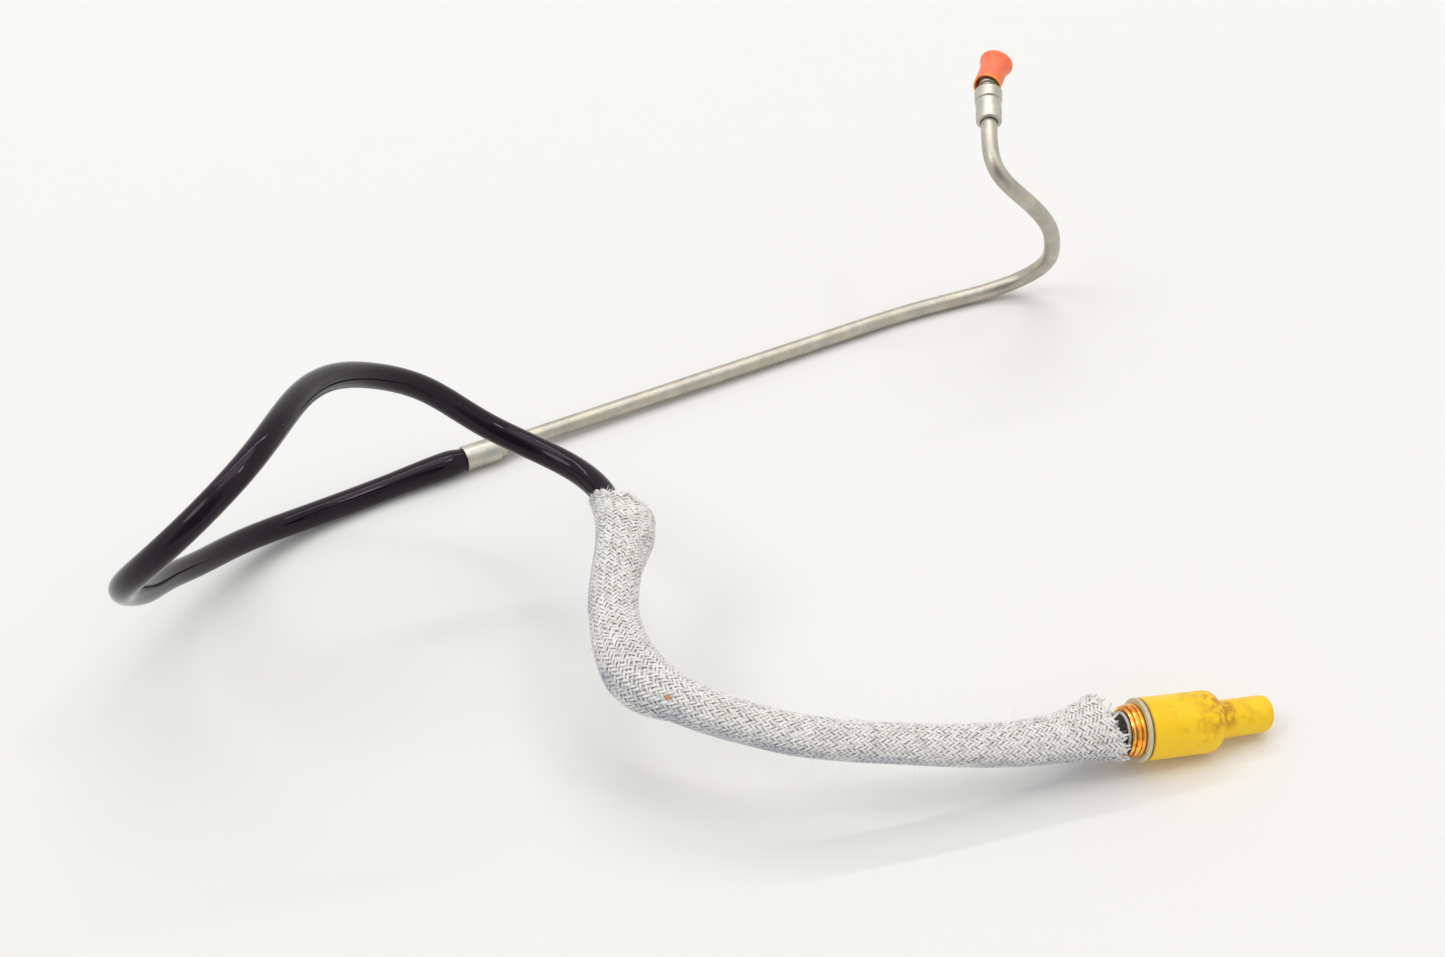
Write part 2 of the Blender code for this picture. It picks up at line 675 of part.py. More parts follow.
def sleeve_ring(work, i, line, frames, along, shape, inner):
    """One ring of the sleeve's vertices. The outer ones stand up and down in turn, as a braid does."""
    side, up, tangent = frames[i]
    radii, shifts = shape
    outer_side = tangent.cross(Vector((0.0, 0.0, 1.0))).normalized()
    towards = (outer_side - Vector((0.0, 0.0, SLEEVE_SAG))).normalized()
    centre = Vector(line[i]) + towards * shifts[i]
    mouth = SLEEVE_MOUTH_SLANT * max(0.0, 1 - along[i] / SLEEVE_MOUTH_FADE)
    tail = SLEEVE_TAIL_SLANT * max(0.0, 1 - (along[-1] - along[i]) / SLEEVE_TAIL_FADE)
    ring = []
    for j in range(SLEEVE_STRANDS):
        angle = 2 * math.pi * j / SLEEVE_STRANDS
        out = side * math.cos(angle) + up * math.sin(angle)
        radius = radii[i]
        if inner:
            radius -= SLEEVE_WALL
        elif (i + j) % 2:
            radius -= SLEEVE_RIDGE
        slide = -mouth * out.dot(outer_side) - tail * out.dot(SLEEVE_TAIL_SIDE)
        ring.append(work.verts.new(centre + out * radius + tangent * slide))
    return ring


def bridge(work, rings):
    """Quads between each ring of vertices and the next."""
    for a, b in zip(rings, rings[1:]):
        for j in range(len(a)):
            k = (j + 1) % len(a)
            work.faces.new((a[j], a[k], b[k], b[j]))


def add_sleeve(parts, fibre):
    line = sleeve_line()
    frames = carried_frames(line)
    along = lengths_along(line)
    shape = sleeve_shape(along)
    work = bmesh.new()
    count = len(line)
    outer = [sleeve_ring(work, i, line, frames, along, shape, False) for i in range(count)]
    inner_places = sorted({*range(0, count, SLEEVE_LINING_STEP), count - 1})
    inner = [sleeve_ring(work, i, line, frames, along, shape, True) for i in inner_places]
    bridge(work, [*outer, *reversed(inner), outer[0]])
    bmesh.ops.recalc_face_normals(work, faces=work.faces)
    mesh = bpy.data.meshes.new("heat_sleeve")
    work.to_mesh(mesh)
    work.free()
    mesh.materials.append(fibre)
    mesh.shade_smooth()
    parts.objects.link(bpy.data.objects.new("heat_sleeve", mesh))


# Coupling end


def add_hose_ferrule(parts, black):
    """The black crimp ferrule: its lip stands in the body's recess, its crimps grip the hose."""
    front = -ferrule_front()
    rear = front - HOSE_FERRULE_LENGTH
    bore = HOSE_OD / 2 + FIT
    outer = bore + HOSE_FERRULE_WALL
    lip = outer + HOSE_FERRULE_LIP_STEP
    behind_lip = front - HOSE_FERRULE_LIP_WIDTH
    profile = [
        (lip, front),
        (lip, behind_lip, HOSE_FERRULE_LIP_WIDTH / 3),
        (outer, behind_lip),
    ]
    pitch = (HOSE_FERRULE_LENGTH - HOSE_FERRULE_LIP_WIDTH) / (HOSE_FERRULE_CRIMPS + 1)
    for k in range(1, HOSE_FERRULE_CRIMPS + 1):
        middle = behind_lip - pitch * k
        profile += [
            (outer, middle + pitch / 4),
            (outer - HOSE_FERRULE_CRIMP_DEPTH, middle),
            (outer, middle - pitch / 4),
        ]
    profile += [(outer, rear, HOSE_FERRULE_CRIMP_DEPTH), (bore, rear), (bore, front)]
    turned("hose_ferrule", profile, coupling_frame(), black, parts)


def add_nipple(parts, zinc):
    """The barbed tube in the hose, with a collar behind the body and a shank pressed into it."""
    end = NIPPLE_SHANK_LENGTH - body_rear() + BODY_RECESS_DEPTH
    collar_front = -ferrule_front()
    collar_rear = collar_front - NIPPLE_COLLAR_WIDTH
    tail = -hose_end() - NIPPLE_REACH
    shank = NIPPLE_SHANK_OD / 2
    tube = NIPPLE_OD / 2
    collar = tube + NIPPLE_COLLAR_STEP
    profile = [(shank, end), (shank, collar_front), (collar, collar_front), (collar, collar_rear)]
    pitch = NIPPLE_REACH / (NIPPLE_BARBS + 1)
    for k in range(1, NIPPLE_BARBS + 1):
        crest = collar_rear - pitch * k
        profile += [(tube, crest + NIPPLE_BARB), (tube + NIPPLE_BARB, crest), (tube, crest - pitch / 2)]
    bore = NIPPLE_BORE / 2
    profile.insert(4, (tube, collar_rear))
    profile += [(tube, tail), (bore, tail), (bore, end)]
    turned("hose_nipple", profile, coupling_frame(), zinc, parts, segments=ROUND_HIDDEN)


def shank_end():
    """Height of the nipple's front end, where the spring seat stands."""
    return NIPPLE_SHANK_LENGTH - body_rear() + BODY_RECESS_DEPTH


def probe_tip():
    return BODY_FRONT_LENGTH + PROBE_LENGTH


def chamber_radius():
    """The valve's chamber leaves a thin wall inside the probe's seal groove."""
    return PROBE_OD / 2 - PROBE_SEAL_GROOVE_DEPTH - PROBE_WALL


def yellow_cap_radii():
    """Bore and outer radius of the yellow cap's wide part, which goes over the body."""
    bore = BODY_FRONT_OD / 2 + YELLOW_CAP_CLEAR
    return bore, bore + YELLOW_CAP_WALL


def add_coupling_body(parts, gold):
    front = BODY_FRONT_OD / 2
    probe = PROBE_OD / 2
    barrel = BARREL_OD / 2
    bead = BEAD_OD / 2
    flange = front + FLANGE_STEP
    tip = probe_tip()
    rear = -body_rear()
    recess = HOSE_OD / 2 + HOSE_FERRULE_WALL + HOSE_FERRULE_LIP_STEP + 2 * FIT
    seal_at = tip - PROBE_SEAL_FROM_TIP
    seal_half = SEAL_WIRE / 2 + FIT
    seal_floor = probe - PROBE_SEAL_GROOVE_DEPTH
    snap_half = SNAP_GROOVE_WIDTH / 2
    snap_floor = front - SNAP_GROOVE_DEPTH
    bead_front = -FLANGE_WIDTH - BODY_GROOVE_WIDTH
    barrel_front = bead_front - BEAD_WIDTH - BODY_GROOVE_WIDTH
    chamber = chamber_radius()
    profile = [
        (probe - PROBE_END_STEP, tip),
        (probe, tip - PROBE_CHAMFER),
        (probe, seal_at + seal_half),
        (seal_floor, seal_at + seal_half),
        (seal_floor, seal_at - seal_half),
        (probe, seal_at - seal_half),
        (probe, BODY_FRONT_LENGTH),
        (front, BODY_FRONT_LENGTH, PROBE_CHAMFER),
        (front, SNAP_GROOVE_AT + snap_half),
        (snap_floor, SNAP_GROOVE_AT + snap_half),
        (snap_floor, SNAP_GROOVE_AT - snap_half),
        (front, SNAP_GROOVE_AT - snap_half),
        (front, 0.0),
        (flange, 0.0),
        (flange, -FLANGE_WIDTH, FLANGE_WIDTH / 3),
        (bead - BODY_GROOVE_DEPTH, -FLANGE_WIDTH),
        (bead - BODY_GROOVE_DEPTH, bead_front),
        (bead, bead_front, BEAD_WIDTH / 3),
        (bead, bead_front - BEAD_WIDTH, BEAD_WIDTH / 3),
        (barrel - BODY_GROOVE_DEPTH, bead_front - BEAD_WIDTH),
        (barrel - BODY_GROOVE_DEPTH, barrel_front),
        (barrel, barrel_front),
        (barrel, rear, BARREL_WIDTH / 3),
        (recess, rear),
        (recess, rear + BODY_RECESS_DEPTH),
        (NIPPLE_SHANK_OD / 2 + FIT, rear + BODY_RECESS_DEPTH),
        (NIPPLE_SHANK_OD / 2 + FIT, shank_end()),
        (chamber, shank_end()),
        (chamber, tip - PORT_LENGTH),
        (PORT_BORE / 2, tip - PORT_LENGTH + (chamber - PORT_BORE / 2)),
        (PORT_BORE / 2, tip),
    ]
    turned("coupling_body", profile, coupling_frame(), gold, parts)


def add_guard_ring(parts, pale):
    bore = BODY_FRONT_OD / 2 + FIT
    outer = bore + GUARD_RING_SECTION
    edge = GUARD_RING_WIDTH / 5
    profile = [
        (outer, GUARD_RING_WIDTH, edge),
        (outer, FIT, edge),
        (bore, FIT),
        (bore, GUARD_RING_WIDTH),
    ]
    turned("guard_ring", profile, coupling_frame(), pale, parts)


def spring_ends():
    """Heights of the spring's two end faces: on its seat and under the poppet's body."""
    low = shank_end() + 2 * FIT + SPRING_SEAT_THICKNESS
    high = poppet_heights()["body_rear"] - FIT
    return low, high


def poppet_heights():
    tip = probe_tip()
    seat = tip - PORT_LENGTH
    body_front = seat - FIT
    return {
        "pin_end": tip + POPPET_PIN_PROUD,
        "body_front": body_front,
        "body_rear": body_front - POPPET_LENGTH,
        "guide_end": body_front - POPPET_LENGTH - POPPET_GUIDE_LENGTH,
    }


def add_valve(parts, zinc, steel, rubber):
    """Poppet, its seal, its spring and the drilled disc that the spring stands on."""
    frame = coupling_frame()
    at = poppet_heights()
    seal_half = SEAL_WIRE / 2 + FIT
    seal_at = at["body_front"] - seal_half - POPPET_SEAL_SEAT_OD / 8
    seat_radius = POPPET_SEAL_SEAT_OD / 2
    body = chamber_radius() - POPPET_CLEAR
    pin = POPPET_PIN_OD / 2
    guide = (SPRING_MEAN_OD - SPRING_WIRE) / 2 - POPPET_GUIDE_CLEAR
    profile = [
        (0.0, at["pin_end"]),
        (pin, at["pin_end"]),
        (pin, at["body_front"]),
        (body - seal_half / 2, at["body_front"]),
        (body - seal_half / 2, seal_at + seal_half),
        (seat_radius, seal_at + seal_half),
        (seat_radius, seal_at - seal_half),
        (body, seal_at - seal_half),
        (body, at["body_rear"]),
        (guide, at["body_rear"]),
        (guide, at["guide_end"]),
        (0.0, at["guide_end"]),
    ]
    turned("valve_poppet", profile, frame, zinc, parts, closed=False, segments=ROUND_HIDDEN)
    seal_wire = min(SEAL_WIRE, 2 * (body - seat_radius - FIT) / 2)
    o_ring("poppet_seal", seat_radius, seal_at, seal_wire, frame, rubber, parts)

    disc = chamber_radius() - FIT
    low = shank_end() + FIT
    hole = SPRING_SEAT_BORE / 2
    profile = [
        (disc, low + SPRING_SEAT_THICKNESS),
        (disc, low),
        (hole, low),
        (hole, low + SPRING_SEAT_THICKNESS),
    ]
    turned("spring_seat", profile, frame, zinc, parts, segments=ROUND_HIDDEN)

    start, stop = spring_ends()
    start += SPRING_WIRE / 2 + FIT
    stop -= SPRING_WIRE / 2
    count = SPRING_TURNS * SPRING_POINTS_PER_TURN
    coil = []
    for k in range(count + 1):
        angle = 2 * math.pi * k / SPRING_POINTS_PER_TURN
        height = start + (stop - start) * k / count
        reach = SPRING_MEAN_OD / 2
        coil.append(frame @ Vector((reach * math.cos(angle), reach * math.sin(angle), height)))
    radii = [SPRING_WIRE / 2] * len(coil)
    mesh = tube_mesh("valve_spring", coil, radii, WIRE_RESOLUTION, parts)
    mesh.materials.append(steel)
    mesh.shade_smooth()
    parts.objects.link(bpy.data.objects.new("valve_spring", mesh))


def add_probe_seal(parts, rubber):
    floor = PROBE_OD / 2 - PROBE_SEAL_GROOVE_DEPTH
    height = probe_tip() - PROBE_SEAL_FROM_TIP
    wire = min(SEAL_WIRE, PROBE_SEAL_GROOVE_DEPTH + YELLOW_NOSE_CLEAR - 2 * FIT)
    o_ring("probe_seal", floor, height, wire, coupling_frame(), rubber, parts)


def add_yellow_cap(parts, yellow):
    """A thin dipped cap: wide body, round shoulder and a blind nose over the probe."""
    bore, outer = yellow_cap_radii()
    nose_bore = PROBE_OD / 2 + YELLOW_NOSE_CLEAR
    nose = nose_bore + YELLOW_NOSE_WALL
    rim = GUARD_RING_WIDTH + YELLOW_CAP_GAP
    shoulder = BODY_FRONT_LENGTH + YELLOW_CAP_OVERHANG
    root = shoulder + YELLOW_CAP_SHOULDER_LENGTH
    tip = probe_tip() + YELLOW_NOSE_ROOM + YELLOW_TIP_THICKNESS
    wall = YELLOW_CAP_WALL
    profile = [
        (0.0, tip),
        (nose - YELLOW_NOSE_TAPER, tip, YELLOW_EDGE),
        (nose, root, wall),
        (outer, shoulder + YELLOW_CAP_SHOULDER_LENGTH * 0.45, YELLOW_EDGE * 2),
        (outer, shoulder - YELLOW_EDGE),
        (outer, rim, wall / 4),
        (bore, rim),
        (bore, shoulder + YELLOW_CAP_SHOULDER_LENGTH * 0.2, wall),
        (nose_bore, root - wall / 2),
        (nose_bore, tip - YELLOW_TIP_THICKNESS, wall),
        (0.0, tip - YELLOW_TIP_THICKNESS),
    ]
    turned("yellow_cap", profile, coupling_frame(), yellow, parts, closed=False)


def main():
    clear_scene()
    parts = new_collection("hydraulic_line")
    cutters = new_collection("cutters")
    cutters.hide_render = True

    zinc = material("zinc_plate", (0.52, 0.50, 0.44), 0.38, 1.0)
    gold = material("gold_chromate", (0.85, 0.50, 0.10), 0.22, 1.0)
    steel = material("spring_steel", (0.45, 0.45, 0.46), 0.35, 1.0)
    black_rubber = material("hose_black", (0.018, 0.017, 0.020), 0.22)
    black_metal = material("black_ferrule", (0.02, 0.018, 0.02), 0.3)
    seal_rubber = material("seal_rubber", (0.02, 0.02, 0.02), 0.5)
    fibre = material("glass_fibre", (0.62, 0.63, 0.65), 0.8)
    pale = material("guard_ring_grey", (0.55, 0.53, 0.42), 0.45)
    red = material("red_plastic", (0.95, 0.17, 0.08), 0.42)
    yellow = material("yellow_plastic", (0.95, 0.58, 0.03), 0.40)

    add_pipe(parts, cutters, zinc)
    add_pipe_ferrule(parts, zinc)
    add_fitting(parts, zinc)
    add_red_cap(parts, red)
    add_hose(parts, cutters, black_rubber)
    add_sleeve(parts, fibre)
    add_hose_ferrule(parts, black_metal)
    add_nipple(parts, zinc)
    add_coupling_body(parts, gold)
    add_guard_ring(parts, pale)
    add_valve(parts, zinc, steel, seal_rubber)
    add_probe_seal(parts, seal_rubber)
    add_yellow_cap(parts, yellow)


main()
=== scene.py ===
"""Looks of the hydraulic line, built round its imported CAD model. Metres, +Z up, the surface at z = 0."""

import math

import bpy
import numpy as np
from mathutils import Matrix, Vector


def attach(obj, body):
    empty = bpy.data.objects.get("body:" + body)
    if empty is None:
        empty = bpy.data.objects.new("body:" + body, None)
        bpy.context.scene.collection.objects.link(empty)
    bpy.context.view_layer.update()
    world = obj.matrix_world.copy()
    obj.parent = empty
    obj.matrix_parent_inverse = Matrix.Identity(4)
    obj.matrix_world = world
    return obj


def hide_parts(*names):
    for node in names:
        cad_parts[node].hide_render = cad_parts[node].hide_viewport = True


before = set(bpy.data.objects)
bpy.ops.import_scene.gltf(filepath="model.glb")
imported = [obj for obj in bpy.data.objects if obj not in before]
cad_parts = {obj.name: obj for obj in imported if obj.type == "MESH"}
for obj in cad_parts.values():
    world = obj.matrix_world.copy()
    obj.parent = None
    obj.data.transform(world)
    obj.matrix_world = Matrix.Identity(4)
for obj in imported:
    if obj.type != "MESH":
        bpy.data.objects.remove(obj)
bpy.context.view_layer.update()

# Camera: the photograph's place, angle and field
CAMERA_PLACE = (0.0067, -0.8117, 0.704)
CAMERA_TILT = math.radians(50)
CAMERA_LENS = 72.25
CAMERA_SENSOR = 36.0

# Light: the darker part of the room that glossy pieces mirror, and the cosines over which it fades in
DARK_SIDE = (0.0, -0.92, 0.39)
DARK_SIDE_FADE = (0.66, 0.92)
DARK_ROOM = (0.24, 0.22, 0.24)
BACKDROP = (0.93, 0.925, 0.915)
AMBIENT = (1.0, 0.995, 0.985)

# Sizes that the pieces share with the CAD model
FIT = 0.0003
FLOOR_GAP = 0.00005
PIPE_OD = 0.00635
PIPE_INSERT_OD = 0.0050
PIPE_INSERT_REACH = 0.010
PIPE_MOUTH = (-0.0911, 0.0326)
PIPE_CORNERS_ON_TABLE = [(0.0809, 0.128), (0.1401, 0.1521)]
PIPE_CORNERS_RAISED = [(0.1336, 0.1040, 0.0639), (0.1075, 0.0993, 0.0909), (0.1081, 0.1206, 0.0984)]
PIPE_BEND_RADII = [0.060, 0.019, 0.041, 0.0095]
PIPE_SEAT_DEPTH = 0.011
PIPE_SOFTENING = 19  # points over which the bends' ends are eased
PIPE_LOW_SOFTENING = 37  # the same for the lower bend
PIPE_LOW_TOP = 0.075  # height that the lower bend's easing reaches
PIPE_LOW_FADE = 0.025  # height over which it ends there
PIPE_LOW_SHIFT = Vector((0.0012, 0.0008, 0.0))  # of the lower bend's corner, as the easing cuts it short
PIPE_FERRULE_OD = 0.0098
PIPE_FERRULE_WALL = 0.0007
PIPE_FERRULE_LENGTH = 0.0166
PIPE_FERRULE_NECK = 0.0030
FITTING_COLLAR = 0.0101  # where the fitting's collar starts along its axis
FITTING_FACE = 0.0146  # where it ends
HOSE_OD = 0.0091
HOSE_BULGE_OD = 0.0101
HOSE_BULGE_END = 0.030
HOSE_BULGE_REACH = 0.004
HOSE_ROUTE = [
    (-0.1113, 0.0213, 0.0048), (-0.1323, 0.0083, 0.0047), (-0.1513, -0.0057, 0.0068),
    (-0.1673, -0.0227, 0.012), (-0.1783, -0.0427, 0.020), (-0.1853, -0.0627, 0.031),
    (-0.1883, -0.0837, 0.044), (-0.1893, -0.1017, 0.059), (-0.1863, -0.1187, 0.077),
    (-0.1753, -0.1287, 0.095), (-0.1583, -0.1267, 0.112), (-0.1433, -0.1107, 0.121),
    (-0.1353, -0.0887, 0.121), (-0.1303, -0.0657, 0.115), (-0.1233, -0.0447, 0.105),
    (-0.1123, -0.0277, 0.092), (-0.0963, -0.0177, 0.078), (-0.0773, -0.0177, 0.063),
    (-0.0553, -0.0247, 0.055), (-0.0373, -0.0397, 0.053), (-0.0293, -0.0627, 0.052),
    (-0.0283, -0.0867, 0.049), (-0.0243, -0.1097, 0.046), (-0.0103, -0.1297, 0.043),
    (0.0107, -0.1407, 0.040), (0.0337, -0.1447, 0.036), (0.0577, -0.1427, 0.031),
    (0.0807, -0.1387, 0.0255),
]
COUPLING_PLACE = (0.1449, -0.1209, 0.014125)
COUPLING_AZIMUTH = math.radians(17.5)
COUPLING_DROP = math.radians(8.0)
HOSE_END = 0.0053  # from the hose's end to the coupling's place
NIPPLE_REACH = 0.0200
SLEEVE_START = (-0.0333, -0.0507, 0.053)
SLEEVE_END_GAP = 0.0105  # from the sleeve's end to the coupling's place
SLEEVE_WALL = 0.0008
SLEEVE_SLACK_LEFT = 0.0007  # room between hose and sleeve where they come nearest
SLEEVE_SHAPE = [  # length along it, width, shift sideways off the hose's middle
    (0.000, 0.0184, -0.0030), (0.011, 0.0200, -0.0027), (0.020, 0.0184, -0.0014), (0.032, 0.0174, 0.0009),
    (0.052, 0.0174, 0.0031), (0.072, 0.0214, 0.0052), (0.081, 0.0206, 0.0042),
    (0.092, 0.0156, 0.0018), (0.115, 0.0144, 0.0006), (0.170, 0.0140, 0.0004),
    (0.205, 0.0156, 0.0002), (0.224, 0.0174, -0.0007), (0.240, 0.0236, -0.0022),
]
SLEEVE_SAG = 0.45  # how steeply a shift leads down
SLEEVE_MOUTH_SLANT = 0.0082
SLEEVE_MOUTH_FADE = 0.030
SLEEVE_MOUTH_SHIFT = 0.62  # the whole mouth sits lower by this share of the slant
SLEEVE_TAIL_SLANT = 0.0045
SLEEVE_TAIL_FADE = 0.024
SLEEVE_TAIL_SIDE = np.array((0.0, 0.64, 0.77))
SLEEVE_SOFTENING = 21  # points over which its widths and shifts are smoothed

# Braid
YARNS = 32  # yarns in each of the braid's two directions
YARN_CELL = 0.00240  # length of yarn between two crossings
YARN_LEAST_PITCH = 0.0015  # least length along the sleeve between two crossings
YARN_FILL = 0.92  # share of the room between two yarns of one direction that a yarn fills
YARN_WAVE = 0.00028  # how far a yarn rises and falls at the crossings
YARN_THICKNESS = 0.00034
YARN_SECTION = [(-1.0, -0.25), (-0.62, 0.66), (0.0, 1.0), (0.62, 0.66), (1.0, -0.25)]
YARN_SWAY = 0.18  # sideways waver of a yarn, as a share of the room between two
YARN_STEPS = 6  # for each wave of a yarn over and under the others
YARN_FLATTENING = 0.7  # power under 1 that makes the waves' tops flatter
YARN_FLARE_REACH = 0.0035  # length over which a yarn's cut end stands off
YARN_FRAYED_REACH = (0.012, 0.014)  # lengths from the top and from the tail that are soiled most
YARN_END_SPREAD = (-0.0004, 0.0016)  # how far a yarn's end falls short of the sleeve's, least and most
FIBRE_SCALE = 1000 / 2.4  # makes the streaks along a yarn long and thin
SHADED_SIDE = np.array((-0.62, -0.30, -0.72)) / math.hypot(0.62, 0.30, 0.72)  # turned to the floor and away from the lamps, the side where blue grey shade is painted
ORANGE_SPECK = (-0.0112, -0.1396, 0.0476)
ORANGE_SPECK_REACH = 0.0016

# Finer facets than the CAD model's
ROUND = 96
TUBE_SIDES = 40
FILLET_STEPS = 6
FILLET_ROOM = 0.49  # share of the shorter run beside a corner that its fillet may take
ARC_STEPS = 26
SPLINE_STEPS = 48
HOSE_STEP = 0.0014
PIPE_STEP = 0.0015
SLEEVE_STEP = 0.0005
ON_AXIS = 1e-9  # a smaller radius is none

# Values that a noise seldom leaves
NOISE_LOW = 0.3
NOISE_HIGH = 0.7

random_source = np.random.default_rng(11)


# Camera and light


def add_node(tree, kind, **settings):
    node = tree.nodes.new(kind)
    for key, value in settings.items():
        setattr(node, key, value)
    return node


def add_object(name, data):
    piece = bpy.data.objects.new(name, data)
    bpy.context.scene.collection.objects.link(piece)
    return piece


def add_camera():
    data = bpy.data.cameras.new("camera")
    data.sensor_fit = "HORIZONTAL"
    data.sensor_width = CAMERA_SENSOR
    data.lens = CAMERA_LENS
    data.clip_start = 0.05
    data.clip_end = 20.0
    camera = add_object("camera", data)
    camera.location = CAMERA_PLACE
    camera.rotation_euler = (CAMERA_TILT, 0.0, 0.0)
    bpy.context.scene.camera = camera


def add_lamp(name, data, towards):
    """A lamp whose light comes from the direction given."""
    lamp = add_object(name, data)
    lamp.rotation_mode = "QUATERNION"
    lamp.rotation_quaternion = Vector(towards).to_track_quat("Z", "Y")
    return lamp


def add_sun(name, towards, share, spread_degrees):
    """A lamp as far as the sun. It comes from the direction given, and share is its part of the light."""
    data = bpy.data.lights.new(name, "SUN")
    towards = Vector(towards).normalized()
    data.energy = share * math.pi / max(towards.z, 0.2)
    data.angle = math.radians(spread_degrees)
    add_lamp(name, data, towards)


def add_strip(name, place, size, power):
    """A long thin panel light, turned to the line. It draws the long glints on glossy round pieces."""
    data = bpy.data.lights.new(name, "AREA")
    data.shape = "RECTANGLE"
    data.size, data.size_y = size
    data.energy = power
    add_lamp(name, data, place).location = place


def add_world(ambient):
    """Soft light from all round, seen as a white backdrop. Glossy pieces mirror a darker room in front."""
    world = bpy.data.worlds.new("studio")
    bpy.context.scene.world = world
    world.use_nodes = True
    tree = world.node_tree
    tree.nodes.clear()

    def background(color, strength):
        node = add_node(tree, "ShaderNodeBackground")
        node.inputs["Color"].default_value = (*color, 1.0)
        node.inputs["Strength"].default_value = strength
        return node

    def choose(switch, plain, chosen):
        node = add_node(tree, "ShaderNodeMixShader")
        tree.links.new(switch, node.inputs[0])
        tree.links.new(plain.outputs[0], node.inputs[1])
        tree.links.new(chosen.outputs[0], node.inputs[2])
        return node

    path = add_node(tree, "ShaderNodeLightPath")
    facing = add_node(tree, "ShaderNodeVectorMath", operation="DOT_PRODUCT")
    tree.links.new(add_node(tree, "ShaderNodeTexCoord").outputs["Generated"], facing.inputs[0])
    facing.inputs[1].default_value = DARK_SIDE
    fade = add_node(tree, "ShaderNodeMapRange", interpolation_type="SMOOTHSTEP")
    fade.inputs["From Min"].default_value, fade.inputs["From Max"].default_value = DARK_SIDE_FADE
    tree.links.new(facing.outputs["Value"], fade.inputs["Value"])
    white = background(BACKDROP, 1.0)
    mirrored = choose(fade.outputs["Result"], white, background(DARK_ROOM, 1.0))
    shown = choose(path.outputs["Is Glossy Ray"], background(AMBIENT, ambient), mirrored)
    shown = choose(path.outputs["Is Camera Ray"], shown, white)
    shown = choose(path.outputs["Is Transmission Ray"], shown, white)
    tree.links.new(shown.outputs[0], add_node(tree, "ShaderNodeOutputWorld").inputs["Surface"])


# Material nodes


